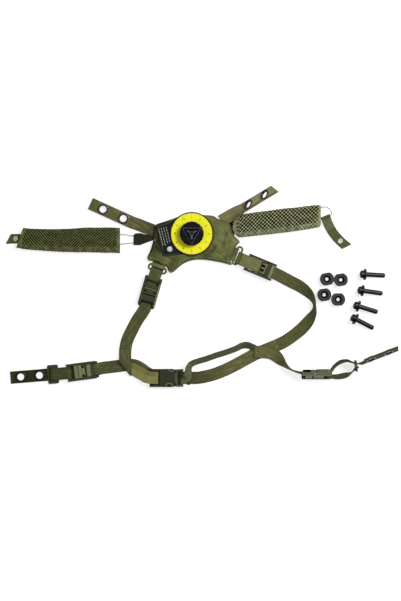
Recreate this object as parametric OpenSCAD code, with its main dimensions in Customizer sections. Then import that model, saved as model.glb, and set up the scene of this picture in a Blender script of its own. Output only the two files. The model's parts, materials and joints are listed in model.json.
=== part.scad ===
// Combat helmet retention and adjustment harness, laid out flat with its bolts and nuts.
// Millimetres, +Z up, resting on the plane z = 0. +X is to the right and +Y is to the back of the
// helmet, where the nape pad sits. Straps are ribbons swept along stations [x, y, lift, roll, layers,
// skew]: lift is the height of the lowest edge, roll turns the webbing on edge, layers stacks it, and
// skew cuts it along a slanting line.

/* [Webbing] */
// Width of the harness webbing
web_w = 16; // [15:0.5:17]
// Thickness of the harness webbing
web_t = 1.6; // [1.3:0.1:1.8]
// Width of the sleeve tab webbing
tab_w = 12.5; // [10:0.5:14]
// Thickness of the sleeve tab webbing
tab_t = 1.2; // [0.8:0.1:1.4]
// Clearance between stacked soft pieces
soft_gap = 0.3; // [0.2:0.05:0.4]

/* [Lace dial] */
// Radius of the dial's base flange
base_r = 28.2; // [26:0.2:30]
// Thickness of the base flange
base_t = 2.4; // [2:0.1:3]
// Outer radius of the reel drum under the flange
drum_r = 16; // [15:0.5:17]
// Depth of the reel drum under the flange
drum_depth = 6; // [5.5:0.1:6.5]
// Wall of the reel drum
drum_wall = 3.6; // [3.2:0.1:4]
// Outer radius of the instruction ring
ring_r = 26.6; // [25:0.2:27.5]
// Thickness of the instruction ring
ring_t = 0.8; // [0.5:0.1:1.2]
// Radius of the knob
knob_r = 15.6; // [14.5:0.2:17]
// Height of the knob
knob_h = 8; // [7:0.5:10]
// Radius of the dial shaft
shaft_r = 3; // [2.5:0.1:3.5]
// Clearance between the spool's flanges and the drum
spool_gap = 0.4; // [0.3:0.05:0.8]
// How far the knob pulls out to release the lace
pull_travel = 3; // [2:0.5:3]

/* [Nape pad and sleeves] */
// Height of the flat on the nape pad that the dial sits on
seat_z = 9.2; // [9:0.1:10]
// Height of the pad's upper edge
pad_edge_top = 5.4; // [5:0.1:6]
// Height of the pad's lower edge above the ground
pad_edge_low = 3.2; // [3:0.1:3.5]
// Thickness of a sleeve in its middle
sleeve_h = 10; // [9:0.5:11]
// Wall of a sleeve
sleeve_wall = 1.6; // [1.2:0.1:1.8]
// Diameter of the lace
lace_d = 1.2; // [0.9:0.1:1.4]

/* [Hardware] */
// Outer radius of a grommet's flange
grommet_r = 7.1; // [6.6:0.1:7.4]
// Radius of a grommet's hole
grommet_hole = 4.5; // [4.2:0.1:4.8]
// Wall of a grommet's barrel
grommet_wall = 0.5; // [0.4:0.05:0.6]
// Height of a grommet's flange over the webbing
grommet_lip = 0.55; // [0.4:0.05:0.7]
// Distance between the grommets of a rear strap
rear_pitch = 29; // [26:0.5:30]
// Distance between the grommets of a front strap
front_pitch = 24.4; // [22:0.2:25]
// Wire diameter of the ring between the nape pad and a leg loop
wire_d = 2.6; // [2.2:0.1:2.8]
// Length of that ring
wire_ring_l = 26; // [24:0.5:27]
// Width of that ring
wire_ring_w = 9.4; // [9.2:0.2:12]

/* [Cam buckle] */
// Length of the frame, from the loop bar to the end of its rails
cam_l = 36; // [34:0.5:38]
// Thickness of a side rail
cam_rail = 3; // [2.4:0.1:3.4]
// Height of the side rails
cam_h = 7.6; // [7.4:0.1:8.4]
// Side clearance between webbing and rail
cam_side = 0.4; // [0.3:0.05:0.6]
// Distance from the loop bar to the lever's pin
pin_x = 19.5; // [19:0.25:20.5]
// Radius of the lever's pin
pin_r = 0.8; // [0.7:0.05:1]
// Radius of the loop bar
bar_r = 1.6; // [1.4:0.1:1.7]
// Thickness of the plate under the webbing
cam_plate = 1.3; // [1.1:0.1:1.4]

/* [Chin buckle] */
// Width of the side-release buckle
clip_w = 23.4; // [22.5:0.2:25]
// Height of the socket
clip_h = 9; // [8.6:0.1:10]
// Length of the socket's housing
clip_l = 19; // [18:0.5:20]
// Wall of the socket
clip_wall = 1.8; // [1.5:0.1:2]
// Length of a release prong
prong_l = 13; // [12:0.5:13.5]

/* [Fasteners] */
// Radius of a bolt's shank
bolt_r = 3.1; // [2.8:0.1:3.3]
// Length of a bolt's shank
bolt_l = 26; // [22:1:30]
// Radius of a bolt's flange
bolt_head_r = 7.5; // [6.8:0.1:8]
// Radius of a nut's flange
nut_r = 9; // [8.5:0.1:9.5]
// Height of a nut
nut_h = 7; // [6:0.5:8]

/* [Hidden] */
$fn = 48;

olive = "#565a3a";
dark_olive = "#3f4426";
black = "#1c1c1c";
nickel = "#8d8478";

// Curves through hand-placed points

function unit(v) = v / norm(v);
function heading(a) = [cos(a), sin(a)];
function ahead(p, a, d) = [p[0] + d * cos(a), p[1] + d * sin(a)];
function bend(a, b, c, d, t) =
  0.5 * (2 * b + (c - a) * t + (2 * a - 5 * b + 4 * c - d) * t * t + (3 * b - a - 3 * c + d) * t * t * t);
function smooth(p, n) = [
  for (i = [0:len(p) - 2], k = [0:n - 1])
    bend(p[max(i - 1, 0)], p[i], p[i + 1], p[min(i + 2, len(p) - 1)], k / n),
  p[len(p) - 1]
];

// Closed tube faces for rings of m points, n rings, each face a triangle

function tube_faces(n, m) = [
  for (i = [0:n - 2], k = [0:m - 1])
    each [[i * m + k, (i + 1) * m + (k + 1) % m, i * m + (k + 1) % m],
          [i * m + k, (i + 1) * m + k, (i + 1) * m + (k + 1) % m]],
  for (k = [1:m - 2]) each [[0, k, k + 1], [(n - 1) * m, (n - 1) * m + k + 1, (n - 1) * m + k]]
];

// Webbing ribbon

function full(s) = [s[0], s[1], s[2], s[3], len(s) > 4 ? s[4] : 1, len(s) > 5 ? s[5] : 0];
function mid_z(s, w, t) = s[2] + w / 2 * abs(sin(s[3])) + t * s[4] / 2 * abs(cos(s[3]));
function ribbon_ring(c, i, s, w, t) =
  let (
    run = unit(c[min(i + 1, len(c) - 1)] - c[max(i - 1, 0)]),
    side = unit(cross([0, 0, 1], run)),
    up = cross(run, side),
    across = (side * cos(s[3]) + up * sin(s[3]) + run * s[5]) * w / 2,
    face = (up * cos(s[3]) - side * sin(s[3])) * t * s[4] / 2
  )
  [c[i] + across - face, c[i] + across + face, c[i] - across + face, c[i] - across - face];

module strap(points, w = web_w, t = web_t, steps = 5) {
  s = smooth([for (q = points) full(q)], steps);
  c = [for (q = s) [q[0], q[1], mid_z(q, w, t)]];
  polyhedron(
    points = [for (i = [0:len(s) - 1]) each ribbon_ring(c, i, s[i], w, t)],
    faces = tube_faces(len(s), 4)
  );
}

// Lace: a round cord along [x, y, z] points

cord_sides = 8;
function cord_ring(c, i, r) =
  let (
    run = unit(c[min(i + 1, len(c) - 1)] - c[max(i - 1, 0)]),
    side = unit(cross([0, 0, 1], run)),
    up = cross(run, side)
  )
  [for (k = [0:cord_sides - 1]) c[i] + r * (side * cos(360 * k / cord_sides) + up * sin(360 * k / cord_sides))];

module cord(points, d, steps = 4) {
  c = smooth(points, steps);
  polyhedron(
    points = [for (i = [0:len(c) - 1]) each cord_ring(c, i, d / 2)],
    faces = tube_faces(len(c), cord_sides)
  );
}

// Side profile of webbing that folds over bars, drawn in X and Z and extruded across

function left_of(p, i) =
  let (d = unit(p[min(i + 1, len(p) - 1)] - p[max(i - 1, 0)])) [-d[1], d[0]];
function band(p, t) = concat(
  [for (i = [0:len(p) - 1]) p[i] + left_of(p, i) * t / 2],
  [for (i = [len(p) - 1:-1:0]) p[i] - left_of(p, i) * t / 2]
);
module side_band(points, w, t) {
  translate([0, w / 2, 0]) rotate([90, 0, 0]) linear_extrude(w) polygon(band(points, t));
}
function arc(c, r, a, b, n) = [for (k = [0:n]) c + r * heading(a + (b - a) * k / n)];

// Webbing loop around two bars of one height, the second at distance l
module web_loop(l, z, r, w, t) {
  outer = concat(arc([0, z], r + t, 90, 270, 12), arc([l, z], r + t, -90, 90, 12));
  inner = concat(arc([0, z], r, 90, 270, 12), arc([l, z], r, -90, 90, 12));
  translate([0, w / 2, 0]) rotate([90, 0, 0]) linear_extrude(w) difference() {
    polygon(outer);
    polygon(inner);
  }
}

// Half turn of webbing around a bar, opening towards +X
module half_turn(r, w, t) {
  rotate([90, 0, 0]) rotate([0, 0, 90])
    rotate_extrude(angle = 180) translate([r, -w / 2]) square([t, w]);
}

module rounded(l, w, r) {
  square([l - 2 * r, w], center = true);
  square([l, w - 2 * r], center = true);
  for (x = [-1, 1], y = [-1, 1]) translate([x * (l / 2 - r), y * (w / 2 - r)]) circle(r);
}

module across_bar(r, l) {
  rotate([90, 0, 0]) cylinder(r = r, h = l, center = true);
}

// Lace dial

dial_pos = [-13, 68.5];
run_fit = 0.08;
seat_fit = 0.05;
base_low = seat_z - drum_depth;
base_top = seat_z + base_t;
well_r = drum_r - drum_wall;
well_floor = 1.2;
housing_r = 14.4;
housing_h = 3;
housing_top = base_top + housing_h;
cover_t = 1.4;
cover_low = housing_top - cover_t;
spool_low = base_low + well_floor + 0.2;
spool_r = well_r - spool_gap;
spool_core = 7;
spool_flange = 0.8;
stop_t = 1.2;
stop_r = shaft_r + 3.5;
stop_low = cover_low - 0.2 - pull_travel - stop_t;
spool_h = stop_low - 0.2 - spool_low;
ratchet_h = 1.8;
ratchet_in = 9.5;
ratchet_teeth = 24;
port_z = spool_low + spool_h / 2;
knob_low = housing_top + 0.4;
knob_top = knob_low + knob_h;
left_port = 182;
right_port = 8;

module at_dial() {
  translate([dial_pos[0], dial_pos[1], 0]) children();
}

module dial_base() {
  color(black) at_dial() difference() {
    union() {
      translate([0, 0, seat_z]) cylinder(r = base_r, h = base_t);
      translate([0, 0, base_low]) cylinder(r = drum_r, h = drum_depth);
      cylinder_from(housing_r, base_top, housing_top);
    }
    cylinder_from(well_r, base_low + well_floor, housing_top + 1);
    for (a = [left_port, right_port])
      rotate([0, 0, a]) translate([0, 0, port_z]) rotate([0, 90, 0]) cylinder(r = lace_d, h = drum_r + 1);
  }
}

module cylinder_from(r, low, high) {
  translate([0, 0, low]) cylinder(r = r, h = high - low);
}

module instruction_ring() {
  color("#f0ec2c") at_dial() difference() {
    cylinder_from(ring_r, base_top + 0.02, base_top + 0.02 + ring_t);
    cylinder_from(housing_r + 0.2, base_top - 1, base_top + ring_t + 1);
  }
}

module ratchet_ring() {
  color("#303030") at_dial() difference() {
    cylinder_from(well_r - seat_fit, cover_low - 0.1 - ratchet_h, cover_low - 0.1);
    cylinder_from(ratchet_in, 0, knob_top);
    for (k = [0:ratchet_teeth - 1]) rotate([0, 0, k * 360 / ratchet_teeth])
      translate([ratchet_in - 0.4, -0.4, 0]) cube([1.4, 0.8, knob_top]);
  }
}

module reel_cover() {
  color("#262626") at_dial() difference() {
    cylinder_from(well_r - seat_fit, cover_low, housing_top);
    cylinder_from(shaft_r + run_fit, 0, knob_top);
  }
}

module dial_shaft() {
  shaft_low = spool_low + 0.3;
  color("#9a9a9a") at_dial() difference() {
    union() {
      cylinder_from(shaft_r, shaft_low, knob_low + 4);
      cylinder_from(stop_r, stop_low, stop_low + stop_t);
    }
    cylinder_from(1.2, knob_low - 2, knob_top);
  }
}

module dial_knob() {
  color(black) at_dial() difference() {
    union() {
      cylinder_from(knob_r, knob_low, knob_top - 2);
      translate([0, 0, knob_top - 2]) cylinder(r1 = knob_r, r2 = knob_r - 2, h = 1);
    }
    cylinder_from(shaft_r + 0.02, knob_low - 1, knob_low + 4.02);
    cylinder_from(1.3, knob_low, knob_top + 1);
    for (k = [0:17]) rotate([0, 0, k * 20]) translate([knob_r + 0.9, 0, 0]) cylinder_from(1.4, 0, knob_top);
  }
}

// A three-sided raised grip with its point towards the front
grip_r = knob_r - 1.4;
module dial_grip() {
  color("#2a2a2a") at_dial() difference() {
    union() {
      linear_extrude(height = knob_top) polygon([for (k = [0:2]) grip_r * heading(-90 + 120 * k)]);
      for (k = [0:2]) rotate([0, 0, 30 + 120 * k]) translate([0, -0.6, knob_top]) cube([grip_r / 2 - 0.4, 1.2, 0.8]);
    }
    cylinder_from(knob_r + 1, -1, knob_top - 0.98);
    cylinder_from(2.4, 0, knob_top + 2);
  }
}

module dial_screw() {
  color("#505050") at_dial() union() {
    cylinder_from(1.15, knob_low - 1.8, knob_top - 0.95);
    cylinder_from(2.2, knob_top - 0.98, knob_top - 0.2);
  }
}

module lace_spool() {
  color("#d8d8d8") at_dial() difference() {
    union() {
      cylinder_from(spool_r, spool_low, spool_low + spool_flange);
      cylinder_from(spool_core, spool_low, spool_low + spool_h);
      cylinder_from(spool_r, spool_low + spool_h - spool_flange, spool_low + spool_h);
    }
    cylinder_from(shaft_r + run_fit, spool_low - 1, spool_low + spool_h + 1);
  }
}

// Nape pad: rings of points between a round pocket for the drum and the outline

pad_outline = [
  [-60.5, 78], [-57.5, 81], [-50, 83.5], [-42.5, 86], [-35, 88.5], [-25, 92], [-13, 93.5], [3, 92.5],
  [14.5, 91.5], [21, 87.5], [31.5, 84], [36, 80], [38, 75], [39.5, 69], [44.4, 62.8], [49, 58.4], [45.6, 54.6],
  [42.8, 49.5], [40.2, 43.5], [37.6, 37], [36.9, 33.4], [38.3, 28.6], [31.3, 30.4], [23.5, 32.2], [10.5, 34.5], [1.5, 35.5], [-7.5, 35.5],
  [-15.5, 34], [-22, 31.4], [-28.5, 27], [-33.5, 22.6], [-37.6, 19.2], [-41.2, 18.8], [-43.2, 21.4], [-45, 25.4],
  [-49.4, 28.6], [-58, 32.6], [-64.5, 33.8], [-68.2, 34.2], [-70.2, 36.6], [-69.6, 40], [-67, 45], [-64.8, 51.5],
  [-62.5, 60], [-61.5, 70]
];
pad_steps = 2;
pad_centre = dial_pos;
pocket_r = drum_r + 0.3;
crown_power = 3.2;
// Creases pressed into the pad: from, to, depth, half width
pad_creases = [
  [[14, 52], [-2, 41], 1.4, 2.2], [[30, 60], [24, 50], 1, 2], [[6, 46], [24, 42], 0.8, 2],
  [[-48, 36], [-36, 33], 0.9, 2.2], [[-56, 47], [-50, 40], 0.8, 2.4]
];
pad_levels = [0, 0.24, 0.46, 0.62, 0.76, 0.9, 0.98, 1];
pad_edge = smooth(concat(pad_outline, [pad_outline[0]]), pad_steps);
pad_count = len(pad_edge) - 1;

function off_line(p, a, b) =
  let (t = max(0, min(1, (p - a) * (b - a) / ((b - a) * (b - a))))) norm(p - a - t * (b - a));
function press(p, k = 0) =
  k >= len(pad_creases) ? 0 :
  pad_creases[k][2] * exp(-pow(off_line(p, pad_creases[k][0], pad_creases[k][1]) / pad_creases[k][3], 2))
  + press(p, k + 1);
function pad_xy(i, f) =
  let (out = pad_edge[i] - pad_centre, r = pocket_r + (norm(out) - pocket_r) * f) pad_centre + unit(out) * r;
function pad_top_z(f) = pad_edge_top + (seat_z - soft_gap / 3 - pad_edge_top) * pow(1 - pow(f, crown_power), 1 / crown_power);
function pad_low_z(f) = f < 0.62 ? 0 : pad_edge_low * pow((f - 0.62) / 0.38, 0.35);

module nape_pad() {
  n = pad_count;
  m = len(pad_levels);
  top = [for (f = pad_levels, i = [0:n - 1]) let (p = pad_xy(i, f)) [p[0], p[1], pad_top_z(f) - press(p) * (f < 1 ? f : 0.4)]];
  low = [for (f = pad_levels, i = [0:n - 1]) let (p = pad_xy(i, f)) [p[0], p[1], pad_low_z(f)]];
  o = m * n;
  color("#5b6340") difference() {
    polyhedron(
      points = concat(top, low),
      faces = [
        for (j = [0:m - 2], i = [0:n - 1]) let (a = j * n + i, b = j * n + (i + 1) % n)
          each [[a, a + n, b], [b, a + n, b + n], [o + a, o + b, o + a + n], [o + b, o + b + n, o + a + n]],
        for (i = [0:n - 1]) let (b = (i + 1) % n, e = (m - 1) * n)
          each [[i, b, o + i], [b, o + b, o + i], [e + i, o + e + i, e + b], [e + b, o + e + i, o + e + b]]
      ]
    );
    lace_slot(left_slot_end);
    lace_slot(right_slot_end);
  }
}

// Slots under the pad for the two lace runs between the drum and the guides
lace_slot_w = 4;
left_slot_end = [-66, 61.5];
right_slot_end = [44, 76.5];
module lace_slot(end) {
  run = end - pad_centre;
  translate([pad_centre[0], pad_centre[1], -1]) rotate([0, 0, atan2(run[1], run[0])])
    translate([drum_r - 2, -lace_slot_w / 2, 0]) cube([norm(run), lace_slot_w, port_z + lace_d + 1]);
}

// Label patch: a thin sheet that follows the pad's crown
label_corners = [[-58.5, 78], [-44, 83], [-33, 45.5], [-49, 38.5]];
label_t = 0.5;
label_n = 6;
function blend4(u, v) =
  (label_corners[0] * (1 - u) + label_corners[1] * u) * (1 - v)
  + (label_corners[3] * (1 - u) + label_corners[2] * u) * v;
// The outline's radius in the direction of a point, found on the outline's own segments
function ray_hit(d, a, b) =
  let (e = b - a, det = d[0] * e[1] - d[1] * e[0], t = (a[0] * e[1] - a[1] * e[0]) / det,
       u = (a[0] * d[1] - a[1] * d[0]) / det)
  det != 0 && t > 0 && u >= 0 && u <= 1 ? t : 0;
function edge_radius(d) = max([for (i = [0:pad_count - 1]) ray_hit(d, pad_edge[i] - pad_centre, pad_edge[i + 1] - pad_centre)]);
function pad_height(p) =
  let (v = p - pad_centre, f = (norm(v) - pocket_r) / (edge_radius(unit(v)) - pocket_r))
  pad_top_z(min(1, max(0, f)));

module label_patch() {
  n = label_n;
  grid = [for (i = [0:n], j = [0:n]) let (p = blend4(i / n, j / n)) [p[0], p[1], pad_height(p) + 0.25]];
  o = (n + 1) * (n + 1);
  rim = concat([for (j = [0:n]) j], [for (i = [1:n]) i * (n + 1) + n], [for (j = [n - 1:-1:0]) n * (n + 1) + j],
               [for (i = [n - 1:-1:1]) i * (n + 1)]);
  color("#202022") difference() {
    polyhedron(
      points = concat(grid, [for (p = grid) p + [0, 0, label_t]]),
      faces = [
        for (i = [0:n - 1], j = [0:n - 1]) let (a = i * (n + 1) + j, b = a + n + 1)
          each [[a, a + 1, b], [a + 1, b + 1, b], [o + a, o + b, o + a + 1], [o + a + 1, o + b, o + b + 1]],
        for (k = [0:len(rim) - 1]) let (a = rim[k], b = rim[(k + 1) % len(rim)])
          each [[a, o + a, b], [b, o + a, o + b]]
      ]
    );
    at_dial() cylinder_from(base_r + soft_gap, 0, knob_top);
  }
}

// Lace guides beside the pad

guide_h = 3;
guide_hole = lace_d / 2 + 0.3;
left_guide_outline = [
  [-88.7, 67.2], [-88.7, 54], [-80, 54], [-71, 57.6], [-61, 61], [-61, 64], [-79, 69.5], [-86, 69.5]
];
guide_lace_z = 1.6;
left_in = [[-59.5, 62.1], [-90.5, 66.1]];
left_back = [[-90.5, 56.8], [-76.5, 58.4]];
right_in = [[35, 75.4], [41.4, 76.3]];
right_back = [[41.8, 69.9], [38.4, 70.2]];

// A level bore between two points
module level_bore(ends) {
  run = ends[1] - ends[0];
  translate([ends[0][0], ends[0][1], guide_lace_z]) rotate([0, 0, atan2(run[1], run[0])]) rotate([0, 90, 0])
    cylinder(r = guide_hole, h = norm(run));
}

module left_guide() {
  color(black) difference() {
    linear_extrude(guide_h) polygon(left_guide_outline);
    level_bore(left_in);
    level_bore(left_back);
  }
}

right_guide_at = [38.8, 73.2];
right_guide_turn = 8;
right_guide_l = 15.4;
right_guide_w = 3.6;
module right_guide() {
  color(black) difference() {
    translate([right_guide_at[0], right_guide_at[1], guide_h / 2]) rotate([0, 0, right_guide_turn])
      cube([right_guide_w, right_guide_l, guide_h], center = true);
    level_bore(right_in);
    level_bore(right_back);
  }
}

// Lace routes: out of the drum, through the guide, round the tab's loop and back into the guide

lace_start = spool_core + 1.4;
left_from = ahead(dial_pos, left_port, lace_start);
right_from = ahead(dial_pos, right_port, lace_start);
function level_run(ends, n) = [
  for (k = [0:n]) let (p = ends[0] + (ends[1] - ends[0]) * k / n) [p[0], p[1], guide_lace_z]
];
left_lace_route = concat(
  [[left_from[0], left_from[1], port_z], [-34, 66.4, port_z], [-48, 63.8, 4], [-56, 62.4, 2.4]],
  level_run(left_in, 3),
  [[-104, 68, 3.6], [-130, 69, 4.6], [-170, 69.8, 4.6], [-205, 70.2, 4.6], [-222, 70.4, 4.4], [-228.2, 70.6, 4.3],
   [-230.6, 69.4, 4.3], [-231.05, 67, 4.3], [-231.4, 62, 4.3], [-231.75, 57, 4.3], [-231.9, 54.6, 4.3], [-229.6, 53, 4.3],
   [-222, 52.8, 4.4], [-200, 52.8, 4.6], [-160, 52.6, 4.6], [-125, 53, 4.6], [-104, 55.4, 3.6]],
  level_run([left_back[0], left_back[1] - [0.5, 0]], 2)
);
right_lace_route = concat(
  [[right_from[0], right_from[1], port_z], [8, 71.6, port_z], [22, 73.6, 4.2], [29, 74.6, 2.4]],
  level_run(right_in, 2),
  [[44, 77.4, 2.8], [50, 81.4, 3.8], [66, 88, 4.6], [90, 94, 4.6], [120, 97.6, 4.6], [146, 100.8, 4.4],
   [154, 102.6, 4.4], [160, 103.6, 4.4], [165, 101.4, 4.4], [168, 97.4, 4.4], [168.6, 94.4, 4.4], [166.8, 92.5, 4.4],
   [160.9, 90, 4.4], [155, 87.5, 4.4], [149, 85.2, 4.5], [136, 82.6, 4.6], [110, 79.4, 4.6], [80, 76.2, 4.6],
   [58, 72.8, 4.2], [47.6, 70.6, 3.4], [44.4, 70.1, 2.8]],
  level_run([right_back[0], right_back[1] + [0.5, 0]], 2)
);

module left_lace() {
  color("#8f8f96") cord(left_lace_route, lace_d);
}

module right_lace() {
  color("#8f8f96") cord(right_lace_route, lace_d);
}

// Lace sleeves: flat hollow tubes, stations [back edge x, y, front edge x, y, thickness]

sleeve_sides = 20;
sleeve_power = 2.6;
left_sleeve_at = [
  [-231.5, 76.5, -240.6, 50.4, 8.8], [-222, 75.4, -229, 48.4, 9.2], [-205, 74.8, -206, 46.4, sleeve_h],
  [-180, 75, -180, 44.8, sleeve_h], [-150, 76.8, -150, 44.2, sleeve_h], [-125, 77, -125, 43.8, 9.6],
  [-106.2, 76.6, -106.2, 43.4, 8.8]
];
right_sleeve_at = [
  [45.6, 82.6, 43, 65.6, 7.6], [51.6, 93.6, 50.6, 63.8, 8.8], [75, 97.4, 73, 66.2, sleeve_h],
  [105, 101.2, 103, 69.4, sleeve_h], [130, 104, 127.4, 72.8, sleeve_h], [150, 106.2, 148, 76.2, 9.2],
  [154.4, 105.4, 154.2, 78.4, 8.8]
];
sleeve_steps = 4;

function superellipse(a) =
  [sign(cos(a)) * pow(abs(cos(a)), 2 / sleeve_power), sign(sin(a)) * pow(abs(sin(a)), 2 / sleeve_power)];
function sleeve_ring(s, wall) =
  let (back = [s[0], s[1]], front = [s[2], s[3]], half = norm(back - front) / 2 - wall, h = s[4] / 2 - wall,
       across = unit(back - front), c = (back + front) / 2)
  [for (k = [0:sleeve_sides - 1]) let (e = superellipse(360 * (k + 0.5) / sleeve_sides), p = c + across * half * e[0])
    [p[0], p[1], s[4] / 2 + h * e[1]]];

module sleeve(stations) {
  s = smooth(stations, sleeve_steps);
  n = len(s);
  m = sleeve_sides;
  o = n * m;
  e = (n - 1) * m;
  polyhedron(
    points = concat([for (q = s) each sleeve_ring(q, 0)], [for (q = s) each sleeve_ring(q, sleeve_wall)]),
    faces = [
      for (i = [0:n - 2], k = [0:m - 1]) let (a = i * m + k, b = i * m + (k + 1) % m)
        each [[a, a + m, b], [b, a + m, b + m], [o + a, o + b, o + a + m], [o + b, o + b + m, o + a + m]],
      for (k = [0:m - 1]) let (b = (k + 1) % m)
        each [[k, b, o + k], [b, o + b, o + k], [e + k, o + e + k, e + b], [e + b, o + e + k, o + e + b]]
    ]
  );
}

module left_sleeve() {
  color("#4c5032") sleeve(left_sleeve_at);
}

module right_sleeve() {
  color("#4c5032") sleeve(right_sleeve_at);
}

// Sleeve tabs: webbing that loops round the lace, with a snap near its end

tab_eye = 1.1;
tab_loop_z = 4.3;
left_tab_at = [-231.4, 62];
left_tab_turn = 176;
right_tab_at = [160.9, 90];
right_tab_turn = -67;
right_tab_z = 4.4;
snap_r = 4;
snap_h = 1.4;

module across_at(p, turn, z, r, l) {
  translate([p[0], p[1], z]) rotate([0, 0, turn]) across_bar(r, l);
}

left_tab_route = [
  [-233, 62.1, 3.1, 0], [-236, 62.2, 2.62, 0], [-241.5, 62.3, 1.46, 0], [-246.5, 62.3, 0.4, 0], [-251.5, 61.6, 0.2, 0]
];
left_snap_at = [-241.5, 62.3];
left_snap_low = 1.46;
left_snap_slope = 11.9;
right_tab_route = [
  [161.6, 88.3, 3.2, 0], [163, 84.6, 2, 0], [166.5, 77, 0.4, 0], [172, 68.4, 0.3, 0], [180, 59.4, 0.3, 0],
  [188.6, 52, 0.3, 0]
];
right_snap_at = [180, 59.4];
right_snap_low = 0.3;

module left_tab() {
  color(olive) difference() {
    union() {
      across_at(left_tab_at, left_tab_turn, tab_loop_z, tab_eye + tab_t, tab_w);
      strap(left_tab_route, tab_w, tab_t, 3);
    }
    across_at(left_tab_at, left_tab_turn, tab_loop_z, tab_eye, 2 * tab_w);
    snap_hole(left_snap_at, left_snap_low, left_snap_slope);
  }
}

module right_tab() {
  color(olive) difference() {
    union() {
      across_at(right_tab_at, right_tab_turn, right_tab_z, tab_eye + tab_t, tab_w);
      strap(right_tab_route, tab_w, tab_t, 3);
    }
    across_at(right_tab_at, right_tab_turn, right_tab_z, tab_eye, 2 * tab_w);
    snap_hole(right_snap_at, right_snap_low, 0);
  }
}

// Puts children on a tab at a snap: middle of the webbing, tilted with it
module on_tab(p, low, slope) {
  translate([p[0], p[1], low + tab_t / 2]) rotate([0, -slope, 0]) children();
}

module snap_hole(p, low, slope) {
  on_tab(p, low, slope) cylinder(r = 1.6, h = 6, center = true);
}

module snap() {
  difference() {
    union() {
      translate([0, 0, -tab_t / 2]) cylinder(r = 1.5, h = tab_t + 0.4);
      translate([0, 0, tab_t / 2 + 0.1]) cylinder(r1 = snap_r, r2 = snap_r - 0.8, h = snap_h);
    }
    translate([0, 0, tab_t / 2 + 0.6]) cylinder(r = 1.8, h = snap_h);
  }
}

module left_snap() {
  color("#6f7064") on_tab(left_snap_at, left_snap_low, left_snap_slope) snap();
}

module right_snap() {
  color("#6f7064") on_tab(right_snap_at, right_snap_low, 0) snap();
}

// Grommeted straps

rear_margin = 18;
front_margin = 13.5;
strap_lift = grommet_lip + 0.05;
grommet_play = 0.15;

// One grommet through webbing of the given thickness, centred on it
module grommet(thick) {
  half = thick / 2;
  lip_end = half + grommet_lip;
  rotate_extrude() {
    difference() {
      translate([grommet_hole, -lip_end]) square([grommet_r - grommet_hole, 2 * lip_end]);
      translate([grommet_hole + grommet_wall, -half - 0.02]) square([grommet_r, thick + 0.04]);
    }
  }
}

module grommet_cut(thick) {
  cylinder(r = grommet_hole + grommet_wall + grommet_play, h = thick + 2, center = true);
}

// Places children on a straight grommeted end: tip point, heading, pitch angle, roll, height of the
// tip's middle, and the distances from the tip
module on_end(tip, turn, slope, roll, z, distances) {
  translate([tip[0], tip[1], z]) rotate([0, -slope, turn])
    for (d = distances) translate([d, 0, 0]) rotate([roll, 0, 0]) children();
}

rear_spots = [rear_margin, rear_margin + rear_pitch];
front_spots = [front_margin, front_margin + front_pitch];

rear_left_tip = [-144.5, 108];
rear_left_turn = -24.4;
rear_left_layers = 2;
rear_left_mid = strap_lift + web_t * rear_left_layers / 2;
function rear_left_p(d) = ahead(rear_left_tip, rear_left_turn, d);
function rear_left_row(distances, lift) = [for (d = distances) let (p = rear_left_p(d)) [p[0], p[1], lift, 0]];
rear_left_route = concat(
  rear_left_row([0, 20, 40, 56, 60], strap_lift),
  [[-83, 81, 0.6, 0], [-72, 76.6, 0.8, 0], [-64, 73.6, 0.9, 0], [-58.5, 71.6, 0.9, 0]]
);

// The end is doubled: a second layer lies on the first, up to the last stitches
module rear_left_strap() {
  color(olive) difference() {
    union() {
      strap(rear_left_route);
      strap(rear_left_row([0.02, 20, 40, 56.5], strap_lift + web_t - 0.02), web_w - 0.04, web_t + 0.02);
    }
    on_end(rear_left_tip, rear_left_turn, 0, 0, rear_left_mid, rear_spots) grommet_cut(web_t * rear_left_layers);
  }
}

module rear_left_grommets() {
  color(nickel) on_end(rear_left_tip, rear_left_turn, 0, 0, rear_left_mid, rear_spots)
    grommet(web_t * rear_left_layers);
}

// The right rear strap is twisted and its end stands up off the ground
rear_right_tip = [93.5, 125];
rear_right_turn = -150;
rear_right_slope = -36;
rear_right_roll = 42;
rear_right_high = 42;
function rear_right_p(d) =
  let (p = ahead(rear_right_tip, rear_right_turn, d * cos(rear_right_slope))) [p[0], p[1]];
function edge_drop(roll) = web_w / 2 * abs(sin(roll)) + web_t / 2 * abs(cos(roll));
rear_right_route = concat(
  [for (d = [0, 18, 36, 54.6, 57]) let (p = rear_right_p(d))
    [p[0], p[1], rear_right_high + d * sin(rear_right_slope) - edge_drop(rear_right_roll), rear_right_roll]],
  [[47, 98.2, 2.2, 28], [41, 94.7, 1.2, 12], [35, 91.2, 0.9, 0], [29, 87.7, 0.9, 0], [24.5, 85.1, 0.9, 0]]
);

module rear_right_strap() {
  color(olive) difference() {
    strap(rear_right_route);
    rear_right_place() grommet_cut(web_t);
  }
}

module rear_right_place() {
  on_end(rear_right_tip, rear_right_turn, rear_right_slope, rear_right_roll, rear_right_high, rear_spots) children();
}

module rear_right_grommets() {
  color(nickel) rear_right_place() grommet(web_t);
}

// Rings at the pad's two lower corners

wire_r = wire_d / 2;
loop_in = 2;
loop_z = loop_in + web_t + 0.05;
ring_corner = 3;
ring_half = wire_ring_w / 2 - wire_r;

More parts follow.
